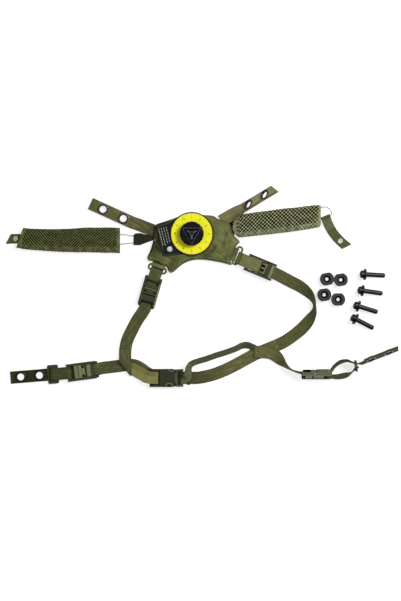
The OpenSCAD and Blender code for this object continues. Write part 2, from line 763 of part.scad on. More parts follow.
module wire_ring() {
  l = wire_ring_l - wire_d;
  w = wire_ring_w - wire_d;
  for (x = [-1, 1]) translate([x * w / 2, 0, 0]) across_bar(wire_r, l - 2 * ring_corner);
  for (y = [-1, 1]) translate([0, y * l / 2, 0]) rotate([0, 90, 0]) cylinder(r = wire_r, h = w - 2 * ring_corner, center = true);
  for (a = [0, 90, 180, 270]) translate([(a == 90 || a == 180 ? -1 : 1) * (w / 2 - ring_corner), (a > 170 ? -1 : 1) * (l / 2 - ring_corner), 0])
    rotate([0, 0, a]) rotate_extrude(angle = 90) translate([ring_corner, 0]) circle(wire_r);
}

left_ring_at = [-57.6, 23.4];
left_ring_turn = -110;
right_ring_at = [46.4, 40.4];
right_ring_turn = -21;

module place(p, turn, z = 0) {
  translate([p[0], p[1], z]) rotate([0, 0, turn]) children();
}

module left_ring() {
  color("#6f735f") place(left_ring_at, left_ring_turn, loop_z) wire_ring();
}

module right_ring() {
  color("#6f735f") place(right_ring_at, right_ring_turn, loop_z) wire_ring();
}

// Fabric tabs that hold the rings' inner bars to the pad
ring_tab_t = 1;
ring_tab_l = 18;
ring_tab_in = wire_r + 0.2;
module ring_tab() {
  r = ring_tab_in + ring_tab_t / 2;
  side_band(concat([[-8, 0.75], [-5, 0.85], [-2.6, loop_z - r + 0.05]], arc([0, loop_z], r, -90, 90, 12),
                   [[-1.8, loop_z + r], [-2.8, loop_z + r]]), ring_tab_l, ring_tab_t);
}

module left_ring_tab() {
  color("#5b6340") place(ahead(left_ring_at, left_ring_turn, -ring_half), left_ring_turn) ring_tab();
}

module right_ring_tab() {
  color("#5b6340") place(ahead(right_ring_at, right_ring_turn, -ring_half), right_ring_turn) ring_tab();
}

// Cam buckles

cam_in = web_w / 2 + cam_side;
cam_out = cam_in + cam_rail;
pin_z = 5;
web_low = cam_plate + 0.05;
plate_from = 17;
plate_to = cam_l - 5;
hub_r = pin_z - web_low - web_t - 0.12;
lever_from = 7.5;
deck_low = 5.6;
deck_t = 1.6;
bridge_from = pin_x + 3.1;
lever_half = cam_in - 0.25;

module rail(y) {
  translate([0, y + cam_rail, 0]) rotate([90, 0, 0]) linear_extrude(cam_rail)
    translate([cam_l / 2 - 1.3, cam_h / 2]) rounded(cam_l + 2.6, cam_h, 1.8);
}

module cam_frame() {
  difference() {
    union() {
      rail(cam_in);
      rail(-cam_in - cam_rail);
      translate([0, 0, loop_z]) across_bar(bar_r, 2 * cam_in + 1);
      translate([plate_from, -cam_in - 0.5, 0]) cube([plate_to - plate_from, 2 * cam_in + 1, cam_plate]);
      translate([bridge_from, -cam_in - 0.5, deck_low]) cube([plate_to - bridge_from, 2 * cam_in + 1, deck_t]);
    }
    translate([pin_x, 0, pin_z]) across_bar(pin_r + 0.03, 2 * cam_out + 2);
    for (y = [-1, 1]) translate([pin_x + 5, y * cam_in, -1]) cylinder(r = 2, h = 3.5);
  }
}

module cam_lever() {
  difference() {
    union() {
      translate([pin_x, 0, pin_z]) across_bar(hub_r, 2 * lever_half);
      translate([lever_from, -lever_half, deck_low]) cube([pin_x + 1.2 - lever_from, 2 * lever_half, deck_t]);
      for (x = [1, 4, 7]) translate([lever_from + x, 0, deck_low + deck_t - 0.45]) across_bar(0.8, 2 * lever_half);
    }
    translate([pin_x, 0, pin_z]) across_bar(pin_r + run_fit, 2 * cam_out);
  }
}

module cam_pin() {
  translate([pin_x, 0, pin_z]) across_bar(pin_r, 2 * cam_out - 0.4);
}

left_leg_at = [-62.5, 10];
left_leg_turn = -106;
right_leg_at = [60.5, 31.6];
right_leg_turn = -22.5;
front_left_at = [-172.5, -112];
front_left_turn = 7.5;
front_right_at = [165.5, -110];
front_right_turn = 180;
front_right_roll = 75;
edge_lift = cam_out * sin(front_right_roll) + 0.05;

module at_left_leg() place(left_leg_at, left_leg_turn) children();
module at_right_leg() place(right_leg_at, right_leg_turn, cam_h) rotate([180, 0, 0]) children();
module at_front_left() place(front_left_at, front_left_turn) children();
module at_front_right() place(front_right_at, front_right_turn, edge_lift) rotate([-front_right_roll, 0, 0]) children();

module left_leg_frame() color(dark_olive) at_left_leg() cam_frame();
module left_leg_lever() color("#4a4e2e") at_left_leg() cam_lever();
module right_leg_frame() color(dark_olive) at_right_leg() cam_frame();
module right_leg_lever() color("#4a4e2e") at_right_leg() cam_lever();
module front_left_frame() color(dark_olive) at_front_left() cam_frame();
module front_left_lever() color("#4a4e2e") at_front_left() cam_lever();
module front_right_frame() color(dark_olive) at_front_right() cam_frame();
module front_right_lever() color("#4a4e2e") at_front_right() cam_lever();

module lever_pins() {
  color("#9a9a9a") {
    at_left_leg() cam_pin();
    at_right_leg() cam_pin();
    at_front_left() cam_pin();
    at_front_right() cam_pin();
  }
}

// Webbing loops between the rings and the leg buckles
left_bow = ahead(left_ring_at, left_ring_turn, ring_half);
left_loop_l = norm(left_leg_at - left_bow);
left_loop_turn = atan2(left_leg_at[1] - left_bow[1], left_leg_at[0] - left_bow[0]);
right_bow = ahead(ahead(right_ring_at, right_ring_turn - 90, 2.4), right_ring_turn, ring_half);
right_loop_l = norm(right_leg_at - right_bow);
right_loop_turn = atan2(right_leg_at[1] - right_bow[1], right_leg_at[0] - right_bow[0]);

module left_leg_loop() {
  color(olive) place(left_bow, left_loop_turn) web_loop(left_loop_l, loop_z, loop_in, web_w, web_t);
}

module right_leg_loop() {
  color(olive) place(right_bow, right_loop_turn, cam_h - 2 * loop_z) web_loop(right_loop_l, loop_z, loop_in, web_w, web_t);
}

// Leg straps, front straps and the left junction

function in_buckle(p, turn, d, lift, roll = 0) = let (q = ahead(p, turn, d)) [q[0], q[1], lift, roll];

turn_r = 1.5;
clip_bar_z = 4.85;
fold_at = [-99.4, -105];
fold_angle = -51;
fold_skew = tan(51);
fold_half = web_w / 2 / cos(51);
low_lift = web_t + soft_gap;
high_lift = low_lift + web_t + 2 * soft_gap;

left_leg_route = [
  for (d = [4.2, 20, 36]) in_buckle(left_leg_at, left_leg_turn, d, web_low),
  [-76, -32, 0.2, 0], [-83.5, -43, 0, 0], [-90.5, -56, 0, 0], [-96.6, -69, 0.2, 0], [-99, -80, 1.6, 0, 1, 0],
  [-99.4, -89, high_lift - 0.3, 0, 1, fold_skew * 0.45], [-99.4, -97, high_lift, 0, 1, fold_skew * 0.8],
  [-99.4, -105, high_lift, 0, 1, fold_skew]
];
chin_end_route = [
  [-99.4, -105, low_lift, 0, 1, -fold_skew], [-95.6, -106, low_lift, 0, 1, -fold_skew * 0.86],
  [-91, -107.4, low_lift + 0.1, 0, 1, -fold_skew * 0.65], [-84, -110.2, low_lift + 0.9, 0, 1, -fold_skew * 0.3],
  [-77, -113.9, low_lift + 2.4, 0], [-71, -116.8, low_lift + 4, 0], [-66, -118, clip_bar_z + turn_r, 0],
  [-59.2, -118.3, clip_bar_z + turn_r, 0]
];
return_route = [for (p = [[-59.2, -118.3], [-66, -118.1], [-71, -117.2], [-75, -115.8]])
  [p[0], p[1], clip_bar_z - turn_r - web_t, 0]];

module left_leg_strap() {
  color(olive) {
    strap(left_leg_route);
    strap(chin_end_route);
    translate([fold_at[0], fold_at[1], (low_lift + high_lift + web_t) / 2]) rotate([0, 0, fold_angle - 90 + 180])
      half_turn((high_lift - low_lift - web_t) / 2, 2 * fold_half, web_t);
    translate([-59.2, -118.3, clip_bar_z]) rotate([0, 0, 180]) half_turn(turn_r, web_w, web_t);
    strap(return_route);
  }
}

module front_left_strap() {
  color(olive) strap([
    for (d = [4.2, 20, 36]) in_buckle(front_left_at, front_left_turn, d, web_low),
    [-129, -105.6, 0.2, 0], [-119.5, -104.4, 0, 0], [-106.5, -102.8, 0, 0], [-95, -101.6, 0, 0],
    [-86, -102.6, 0, 0], [-78.5, -106.6, 0, 0], [-72, -111.4, 0, 0], [-66, -114.6, 0, 0]
  ]);
}

right_web = cam_h - web_low - web_t;
tail_lift = cam_h + 0.15;
right_leg_route = [
  in_buckle(right_leg_at, right_leg_turn, -11, tail_lift), in_buckle(right_leg_at, right_leg_turn, 2, tail_lift),
  in_buckle(right_leg_at, right_leg_turn, 11.4, tail_lift - 0.1), in_buckle(right_leg_at, right_leg_turn, 14.2, tail_lift - 1.4),
  in_buckle(right_leg_at, right_leg_turn, 16.6, right_web + 0.2), in_buckle(right_leg_at, right_leg_turn, 20, right_web),
  in_buckle(right_leg_at, right_leg_turn, 28, right_web), in_buckle(right_leg_at, right_leg_turn, 37, right_web - 0.2),
  [104.5, 12.6, 1.2, 0], [116, 6.4, 0.2, 10], [129, -0.6, 0, 22], [139.5, -9.4, 0, 48], [144.6, -18, 0, 74],
  [146.2, -26, 0, 82], [144.6, -34.6, 0, 62], [139, -44, 0, 30], [131, -53.4, 0, 10], [120, -62.8, 0, 0],
  [108, -71, 0, 0], [99, -75.4, 0, 0]
];

module right_leg_strap() {
  color(olive) strap(right_leg_route);
}

junction_lift = web_t + 0.15;
web_mid = web_low + web_t / 2;
edge_web = edge_lift + web_mid * cos(front_right_roll) - edge_drop(front_right_roll);
front_right_route = [
  [68, -84.4, junction_lift, 0], [78, -84.8, junction_lift, 0], [88, -86, junction_lift, 0], [95, -89, junction_lift - 0.1, 8],
  [101, -94.4, 0.9, 34], [107, -100.8, 0.1, 66], [114, -106.4, 0.1, 84], [122, -110, 0.6, 85],
  [129, -111.8, 2.6, 79],
  for (d = [30, 18, 4.4]) in_buckle(front_right_at, front_right_turn, d, edge_web, front_right_roll)
];

module front_right_strap() {
  color(olive) strap([for (s = front_right_route)
    s[3] == front_right_roll ? [s[0], s[1] - web_mid * sin(front_right_roll), s[2], s[3]] : s]);
}

// Chin straps: from the plug's bar to the right junction

plug_bar_x = -25.7;
chin_y = -118.4;
keep_lift = 0.45;
chin_route = [
  [plug_bar_x, chin_y, clip_bar_z - turn_r - web_t, 0], [-22.6, chin_y, 1, 0], [-20, chin_y, keep_lift, 0], [-14, chin_y, keep_lift, 0],
  [-6, chin_y, keep_lift, 0], [4, -116.8, 0, 0], [17, -113.4, 0, 0], [31.5, -107.6, 0, 0], [44.5, -101.2, 0, 0],
  [57.5, -94, 0, 0], [70.5, -87.2, 0, 0], [84, -81.6, 0, 0], [98.6, -75.6, 0, 0]
];

module chin_strap() {
  color(olive) {
    strap(chin_route);
    translate([plug_bar_x, chin_y, clip_bar_z]) half_turn(turn_r, web_w, web_t);
  }
}

module chin_upper_strap() {
  color(olive) strap([
    [plug_bar_x + 0.25, chin_y, clip_bar_z + turn_r, 0], [-24, chin_y, clip_bar_z + turn_r, 5], [-20, -116.4, 6, 36],
    [-17.6, -111.4, 5, 56], [-16.4, -105, 3, 62], [-13, -100, 0.8, 64], [-6, -97, 0.1, 64], [5.5, -93.6, 0.1, 64],
    [18.5, -89, 0.1, 64], [31.5, -85, 0.1, 64], [44, -80.4, 0.1, 64], [51.5, -76.6, 0.1, 62], [58, -75.6, 0.2, 60], [63, -77, 0.3, 62]
  ]);
}

keeper_x = -19.4;
keeper_l = 4.4;
keeper_t = 0.7;
module chin_keeper() {
  inner_w = web_w + 0.6;
  inner_h = web_t + 0.5;
  low = keep_lift - 0.25;
  color("#3d4a1e") translate([keeper_x, chin_y, low + inner_h / 2]) rotate([90, 0, 90]) linear_extrude(keeper_l) difference() {
    square([inner_w + 2 * keeper_t, inner_h + 2 * 0.18], center = true);
    square([inner_w, inner_h], center = true);
  }
}

// Chin buckle

clip_at = [-35.5, chin_y];
clip_x0 = -clip_l;
rail_w = 2.6;
socket_bar = -59.2 - clip_at[0];
socket_end = -32.4;
cavity_h = clip_h - 2 * clip_wall;
cavity_w = clip_w - 2 * clip_wall;
window_x = -5.8;
thumb_r = 2.3;

module at_clip() translate([clip_at[0], clip_at[1], 0.05]) children();

module chin_socket() {
  color(dark_olive) at_clip() difference() {
    union() {
      translate([clip_x0 / 2, 0, 0]) linear_extrude(clip_h) rounded(clip_l, clip_w, 2);
      for (y = [-1, 1]) translate([(socket_end + clip_x0) / 2 + 0.5, y * (clip_w / 2 - rail_w / 2), clip_bar_z])
        cube([clip_x0 - socket_end + 1, rail_w, 5], center = true);
      translate([socket_bar, 0, clip_bar_z - 0.05]) across_bar(1.3, clip_w - 2);
      translate([socket_end + 0.9, 0, clip_bar_z - 0.05]) cube([1.8, clip_w - 2, 1.8], center = true);
      translate([socket_bar, -clip_w / 2 + 0.6, 0.2]) cube([clip_x0 - socket_bar + 1, clip_w - 1.2, 0.9]);
    }
    translate([clip_x0 + clip_wall, -cavity_w / 2, clip_wall]) cube([clip_l, cavity_w, cavity_h]);
    for (y = [-1, 1]) translate([window_x, y * clip_w / 2, clip_h / 2])
      cube([2 * thumb_r + 1.8, 5, cavity_h - 0.6], center = true);
  }
}

prong_w = 2.2;
prong_y = cavity_w / 2 - 0.35 - prong_w / 2;
prong_h = cavity_h - 0.8;
prong_hinge = 2.2;
knuckle_r = 1.1;

module chin_plug() {
  bar = plug_bar_x - clip_at[0];
  color(dark_olive) at_clip() difference() {
    union() {
      translate([0.4, -clip_w / 2 + 0.6, clip_wall]) cube([3.4, clip_w - 1.2, cavity_h]);
      translate([-12, -2, clip_wall + 0.4]) cube([13, 4, prong_h]);
      for (y = [-1, 1]) translate([(3.4 + bar + 1.6) / 2, y * (clip_w / 2 - rail_w / 2 - 0.3), clip_h / 2])
        cube([bar + 1.6 - 3.4 + 0.4, rail_w, cavity_h], center = true);
      translate([bar, 0, clip_bar_z - 0.05]) across_bar(1.3, clip_w - 2.4);
      translate([0.6, -clip_w / 2 + 0.6, 0.3]) cube([3.2, clip_w - 1.2, clip_wall]);
      translate([0.6, -clip_w / 2 + 0.6, 0.3]) cube([bar - 0.6, clip_w - 1.2, 0.9]);
    }
    for (y = [-1, 1]) translate([prong_hinge, y * prong_y, 0]) cylinder(r = knuckle_r + 0.1, h = clip_h);
    for (y = [-1, 1]) translate([-1, y * prong_y - 1.9, 0]) cube([3.2, 3.8, clip_h]);
  }
}

module prong(side) {
  translate([0, side * prong_y, clip_wall + 0.4]) {
    translate([prong_hinge, 0, 0]) cylinder(r = knuckle_r, h = prong_h);
    translate([prong_hinge - prong_l, -prong_w / 2, 0]) cube([prong_l, prong_w, prong_h]);
    translate([window_x, side * 0.6, 0]) cylinder(r = thumb_r, h = prong_h);
  }
}

module chin_prong_back() color("#4a4e2e") at_clip() prong(1);
module chin_prong_front() color("#4a4e2e") at_clip() prong(-1);

// Tri-glides and the straps that end at them

glide_l = 14.3;
glide_w = 24.7;
glide_t = 2;
glide_bar = 1.8;
glide_mid = 2;

module glide() {
  linear_extrude(glide_t) difference() {
    rounded(glide_l, glide_w, 2.2);
    for (x = [-1, 1]) translate([x * (glide_l / 2 - glide_bar + glide_mid / 2) / 2, 0])
      square([glide_l / 2 - glide_bar - glide_mid / 2, web_w + 0.8], center = true);
  }
}

end_left_tip = [-248.5, -118.2];
end_bar = norm(front_left_at - end_left_tip);
end_left_heading = atan2(front_left_at[1] - end_left_tip[1], front_left_at[0] - end_left_tip[0]);
glide_at = 55.6;
glide_low = web_t + 0.4;
over = glide_low + glide_t + web_t / 2 + 0.15;
under = web_t / 2 + 0.15;
loop_mid = loop_in + web_t / 2;
last_flat = front_spots[1] + grommet_r + 0.4;
front_left_profile = concat(
  smooth([
    [0, strap_lift + web_t / 2], [30, strap_lift + web_t / 2], [last_flat - 7, strap_lift + web_t / 2],
    [last_flat - 3, strap_lift + web_t / 2], [last_flat - 0.4, strap_lift + web_t / 2],
    [last_flat + 1.1, strap_lift + web_t / 2], [48.8, under + 0.1],
    [glide_at - 5.4, under], [glide_at - 3.3, (under + over) / 2 - 0.05], [glide_at - 1.4, over - 0.15], [glide_at + 0.6, over],
    [glide_at + 4.5, over + 0.05], [glide_at + 10, over + 0.6], [end_bar - 4.4, loop_z + loop_mid - 0.1],
    [end_bar - 1.6, loop_z + loop_mid]
  ], 4),
  arc([end_bar, loop_z], loop_mid, 90, -90, 12),
  [[end_bar - 6, under + 0.05], [glide_at + 5, under], [glide_at - 0.6, under]]
);

module at_end_left() place(end_left_tip, end_left_heading) children();

module front_left_end_strap() {
  color(olive) difference() {
    at_end_left() side_band(front_left_profile, web_w, web_t);
    on_end(end_left_tip, end_left_heading, 0, 0, strap_lift + web_t / 2, front_spots) grommet_cut(web_t);
  }
}

module front_left_grommets() {
  color("#7a6a52") on_end(end_left_tip, end_left_heading, 0, 0, strap_lift + web_t / 2, front_spots) grommet(web_t);
}

module front_left_glide() {
  color(dark_olive) at_end_left() translate([glide_at, 0, glide_low]) glide();
}

// The right end strap stands on its edge, so its loop round the buckle's bar lies in the plan
end_right_tip = [254.5, -80];
end_right_turn = -159;
end_right_roll = 112;
end_right_slope = 1.6;
function end_right_p(d) = ahead(end_right_tip, end_right_turn, d);
end_right_mid = edge_drop(end_right_roll) + 0.3;
bar_y = front_right_at[1] - loop_z * sin(front_right_roll);
bar_z = edge_lift + loop_z * cos(front_right_roll);
function round_bar(a, roll) =
  [front_right_at[0] + loop_mid * cos(a), bar_y + loop_mid * sin(a) * sin(front_right_roll),
   bar_z - loop_mid * sin(a) * cos(front_right_roll) - edge_drop(roll), roll];
glide_right_at = [199.4, -102.4];
glide_edge = (glide_w - web_w) / 2;
front_right_end_route = concat(
  [for (d = [0, 15, 30, last_flat - 0.2, last_flat + 2]) let (p = end_right_p(d))
    [p[0], p[1], end_right_mid + d * sin(end_right_slope) - edge_drop(end_right_roll), end_right_roll]],
  [[205.6, -98.6, glide_edge - 1.2, 98], [199.5, -99.5, glide_edge, 91], [195.2, -98.3, glide_edge, 92],
   [191, -96.6, glide_edge, 97], [187, -95.8, glide_edge - 0.2, 102], [179.5, -97.4, 4, 107], [172.4, -102.4, 3.6, 106], [167.8, -108.4, 3.4, 105]],
  [for (a = [90, 135, 180, 225, 270]) round_bar(a, front_right_roll + 30 * (270 - a) / 180)],
  [[176, -116.4, 4.8, 66], [186, -114.6, 4.6, 64], [192.4, -112, glide_edge, 80], [196.4, -108.4, glide_edge, 88],
   [198.3, -106.2, glide_edge, 90], [199.8, -105.5, glide_edge, 90], [201.4, -104.9, glide_edge, 90],
   [202.7, -103.2, glide_edge, 90]]
);

module front_right_end_place() {
  on_end(end_right_tip, end_right_turn, end_right_slope, end_right_roll, end_right_mid, front_spots) children();
}

module front_right_end_strap() {
  color(olive) difference() {
    strap(front_right_end_route);
    front_right_end_place() grommet_cut(web_t);
  }
}

module front_right_grommets() {
  color("#7a6a52") front_right_end_place() grommet(web_t);
}

module front_right_glide() {
  color(dark_olive) translate([glide_right_at[0], glide_right_at[1], glide_w / 2]) rotate([0, 0, 97]) rotate([90, 0, 0])
    translate([0, 0, -glide_t / 2]) glide();
}

// Bolts lying on their sides and nuts standing on their flanges

bolt_flange = 1.6;
bolt_cap_r = 5;
bolt_cap_h = 5;
bolt_socket_r = 2.6;
nut_flat = nut_r - 1;
nut_bore = bolt_r - 0.35;
nut_recess_r = 4.8;
bolt_places = [[210.5, 16, -3], [207.5, -5, -8], [202, -25, -17], [198.5, -41.5, -27]];
nut_places = [[162.5, 10, 10], [180.5, 9, 8], [159, -10.5, 8], [177, -16.5, 1]];

module bolt() {
  lean = atan((bolt_head_r - bolt_r) / (bolt_l - 1));
  translate([0, 0, bolt_head_r * cos(lean) + bolt_flange * sin(lean)]) rotate([0, 90 + lean, 0]) difference() {
    union() {
      cylinder(r = bolt_head_r, h = bolt_flange);
      translate([0, 0, -bolt_cap_h + 1]) cylinder(r = bolt_cap_r, h = bolt_cap_h);
      translate([0, 0, -bolt_cap_h]) cylinder(r1 = bolt_cap_r - 1, r2 = bolt_cap_r, h = 1);
      cylinder(r = bolt_r, h = bolt_l + bolt_flange - 1);
      translate([0, 0, bolt_l + bolt_flange - 1]) cylinder(r1 = bolt_r, r2 = bolt_r - 0.8, h = 1);
    }
    translate([0, 0, -bolt_cap_h - 1]) cylinder(r = bolt_socket_r, h = 4, $fn = 6);
  }
}

module bolts() {
  color(black) for (b = bolt_places) place([b[0], b[1]], b[2]) bolt();
}

module nut() {
  difference() {
    intersection() {
      cylinder(r = nut_r, h = nut_h);
      translate([-nut_r - 1, -nut_flat, 0]) cube([2 * nut_r + 2, 2 * nut_flat, nut_h]);
    }
    translate([0, 0, -1]) cylinder(r = nut_bore, h = nut_h + 2);
    translate([0, 0, nut_h - 2.4]) cylinder(r = nut_recess_r, h = 3);
  }
}

module nuts() {
  color(black) for (n = nut_places) place([n[0], n[1]], n[2]) nut();
}

nape_pad();
label_patch();
dial_base();
instruction_ring();
ratchet_ring();
reel_cover();
dial_shaft();
dial_knob();
dial_grip();
dial_screw();
lace_spool();
left_lace();
right_lace();
left_guide();
right_guide();
left_sleeve();
right_sleeve();
left_tab();
right_tab();
left_snap();
right_snap();
rear_left_strap();
rear_right_strap();
rear_left_grommets();
rear_right_grommets();
left_ring();
right_ring();
left_ring_tab();
right_ring_tab();
left_leg_loop();
right_leg_loop();
left_leg_frame();
left_leg_lever();
right_leg_frame();
right_leg_lever();
front_left_frame();
front_left_lever();
front_right_frame();
front_right_lever();
lever_pins();
left_leg_strap();
right_leg_strap();
front_left_strap();
front_right_strap();
front_left_end_strap();
front_right_end_strap();
front_left_grommets();
front_right_grommets();
front_left_glide();
front_right_glide();
chin_socket();
chin_plug();
chin_prong_back();
chin_prong_front();
chin_strap();
chin_upper_strap();
chin_keeper();
bolts();
nuts();
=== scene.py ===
import json
import math
import bpy
import bmesh
from mathutils import Matrix, Vector, noise
from mathutils.bvhtree import BVHTree


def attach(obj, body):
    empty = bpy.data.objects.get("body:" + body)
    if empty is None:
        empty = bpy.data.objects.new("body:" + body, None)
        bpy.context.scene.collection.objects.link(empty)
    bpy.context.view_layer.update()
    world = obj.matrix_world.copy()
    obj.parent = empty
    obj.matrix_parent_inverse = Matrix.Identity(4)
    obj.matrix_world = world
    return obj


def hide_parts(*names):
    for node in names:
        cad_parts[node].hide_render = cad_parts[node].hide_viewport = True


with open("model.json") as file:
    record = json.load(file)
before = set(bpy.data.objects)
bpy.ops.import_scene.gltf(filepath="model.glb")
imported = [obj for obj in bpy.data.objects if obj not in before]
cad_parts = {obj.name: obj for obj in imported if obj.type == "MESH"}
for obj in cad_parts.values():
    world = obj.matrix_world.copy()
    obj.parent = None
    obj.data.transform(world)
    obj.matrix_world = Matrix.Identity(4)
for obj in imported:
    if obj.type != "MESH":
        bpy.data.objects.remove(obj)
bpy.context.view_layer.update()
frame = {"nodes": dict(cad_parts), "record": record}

mm = 0.001
scene = bpy.context.scene
cadNodes = frame["nodes"]
print("frame loaded")


def addObject(name, data):
    holder = bpy.data.objects.new(name, data)
    scene.collection.objects.link(holder)
    return holder


# camera: straight down, at the photograph's scale
photo = {"pixelsAcross": 401, "mmPerPixel": 1.3, "height": 2.5, "middle": (-1.63, -17.88), "sensor": 36, "reach": 30}
cameraData = bpy.data.cameras.new("photoCamera")
cameraData.sensor_fit = "HORIZONTAL"
cameraData.sensor_width = photo["sensor"]
cameraData.lens = photo["sensor"] * photo["height"] / (photo["pixelsAcross"] * photo["mmPerPixel"] * mm)
cameraData.clip_end = photo["reach"]
camera = addObject("photoCamera", cameraData)
camera.location = (photo["middle"][0] * mm, photo["middle"][1] * mm, photo["height"])
scene.camera = camera
print("camera placed")


# a shader socket in plain arithmetic: each operator adds a Math node to the socket's tree
class Value:
    def __init__(self, socket):
        self.socket = socket
        self.tree = socket.id_data

    def __add__(self, other):
        return calc("ADD", self, other)

    def __sub__(self, other):
        return calc("SUBTRACT", self, other)

    def __rsub__(self, other):
        return calc("SUBTRACT", other, self)

    def __mul__(self, other):
        return calc("MULTIPLY", self, other)

    def __truediv__(self, other):
        return calc("DIVIDE", self, other)

    def __rtruediv__(self, other):
        return calc("DIVIDE", other, self)


def feed(socket, value):
    if isinstance(value, Value):
        value.tree.links.new(value.socket, socket)
    else:
        socket.default_value = value


def treeOf(*values):
    return next(value.tree for value in values if isinstance(value, Value))


def addNode(tree, kind, inputs=None, output=0, **settings):
    # gives the named output, or all outputs by name where output is None
    new = tree.nodes.new(kind)
    for name, value in settings.items():
        setattr(new, name, value)
    for name, value in (inputs or {}).items():
        feed(new.inputs[name], value)
    return {socket.name: Value(socket) for socket in new.outputs} if output is None else Value(new.outputs[output])


def calc(operation, *values, clamp=False):
    return addNode(treeOf(*values), "ShaderNodeMath", dict(enumerate(values)), operation=operation, use_clamp=clamp)


def sine(value):
    return calc("SINE", value)


def blend(share, first, second):
    return addNode(treeOf(share, first, second), "ShaderNodeMix", {0: share, 6: first, 7: second}, 2, data_type="RGBA")


def coated(tone, *coats):
    for share, colour in coats:
        tone = blend(share, tone, colour)
    return tone


def fade(value, low, high, toLow=0.0, toHigh=1.0):
    return addNode(value.tree, "ShaderNodeMapRange", {
        "Value": value, "From Min": low, "From Max": high, "To Min": toLow, "To Max": toHigh},
        "Result", interpolation_type="SMOOTHSTEP")


def patches(where, scale, detail, **more):
    return addNode(where.tree, "ShaderNodeTexNoise", {"Vector": where, "Scale": scale, "Detail": detail, **more}, "Fac")


def stretched(where, **inputs):
    return addNode(where.tree, "ShaderNodeMapping", {"Vector": where, **inputs}, vector_type="POINT")


def mapped(tree, name):
    uv = addNode(tree, "ShaderNodeUVMap", uv_map=name)
    parts = addNode(tree, "ShaderNodeSeparateXYZ", {"Vector": uv}, None)
    return uv, parts["X"], parts["Y"]


def rgb(text):
    values = [int(text[i:i + 2], 16) / 255 for i in (0, 2, 4)]
    return tuple(((v + 0.055) / 1.055) ** 2.4 if v > 0.04 else v / 12.92 for v in values) + (1.0,)


def tones(labels, text):
    return {label: rgb(colour) for label, colour in zip(labels.split(), text.split())}


def startGroup(name, inputs, outputs):
    group = bpy.data.node_groups.new(name, "ShaderNodeTree")
    for label, value in inputs.items():
        kind = "NodeSocketColor" if isinstance(value, tuple) else "NodeSocketFloat"
        group.interface.new_socket(name=label, in_out="INPUT", socket_type=kind).default_value = value
    for label in outputs.split():
        kind = "NodeSocket" + {"Color": "Color", "Normal": "Vector"}.get(label, "Float")
        group.interface.new_socket(name=label, in_out="OUTPUT", socket_type=kind)
    return group, addNode(group, "NodeGroupInput", output=None)


def closeGroup(group, **results):
    output = group.nodes.new("NodeGroupOutput")
    for label, value in results.items():
        feed(output.inputs[label], value)
    return group


# woven webbing: chevron ribs across, warp lines along, darker selvedges, and painted shade that darkens a strap along
# its length; UVs are in millimetres
def buildWebbing():
    tree, given = startGroup("webbingWeave", {
        **tones("Cloth Shade Glint", "5a5c3c 33361f 8a8a5e"), "Width": 16.0, "Rib": 1.5, "Cord": 0.95, "Mottle": 0.35,
        "From": 0.0, "To": 1.0, "Deepen": 0.0}, "Color Height Roughness")
    uv, across, along = mapped(tree, "webUV")
    slant = along + calc("PINGPONG", across, 2.65) * 0.75
    rib = calc("ABSOLUTE", sine(slant * math.pi / given["Rib"]))
    cord = calc("ABSOLUTE", sine(across * math.pi / given["Cord"]))
    height = rib * 0.6 + cord * 0.4
    broad = patches(stretched(uv, Scale=(0.5, 0.07, 1)), 1.0, 3.0)
    fine = patches(uv, 1.6, 2.0)
    middle = given["Width"] * 0.5
    offset = calc("ABSOLUTE", across - middle) / middle
    span = (along - given["From"]) / (given["To"] - given["From"])
    body = coated(given["Shade"], (fade(height, 0.1, 0.75), given["Cloth"]),
                  (fade(broad, 0.45, 0.72) * given["Mottle"], given["Glint"]),
                  (fade(fine, 0.42, 0.62) * 0.3, given["Shade"]), (fade(offset, 0.86, 0.97) * 0.45, given["Shade"]),
                  (fade(span, 0.0, 1.0) * given["Deepen"], given["Shade"]))
    return closeGroup(tree, Color=body, Height=height - fine * 0.2, Roughness=fade(height, 0.0, 1.0, 0.86, 0.68))


# openwork knit: a lattice of holes between knit ridges, fading out over hems; the holes and the grooves between strands
# are painted with shade, the ridges between holes with painted glints; UVs are in millimetres
def buildKnit():
    tree, given = startGroup("openKnit", {
        **tones("Yarn Deep Glint", "59603a 0c0f08 878a5c"), "Cell": 5.2, "Open": 0.3}, "Color Height Roughness")
    uv, around, along = mapped(tree, "knitUV")
    _, mask, lean = mapped(tree, "hemUV")
    turn = 2 * math.pi / given["Cell"]
    lattice = calc("COSINE", (around + along) * turn) * lean + calc("COSINE", (around - along) * turn) * (1.0 - lean)
    hole = fade(lattice - given["Open"], -0.22, 0.3) * mask
    strand = calc("ABSOLUTE", sine((along + around * 0.35) * (math.pi / 0.62)))
    tone = coated(given["Yarn"], (fade(patches(uv, 0.16, 3.0), 0.35, 0.7), given["Glint"]),
                  (strand * 0.35, blend(0.6, given["Yarn"], given["Deep"])),
                  (fade(lattice, 0.1, -0.75) * 0.5, given["Glint"]), (hole, given["Deep"]))
    return closeGroup(tree, Color=tone, Height=strand * 0.25 - hole, Roughness=fade(hole, 0.0, 1.0, 0.8, 1.0))


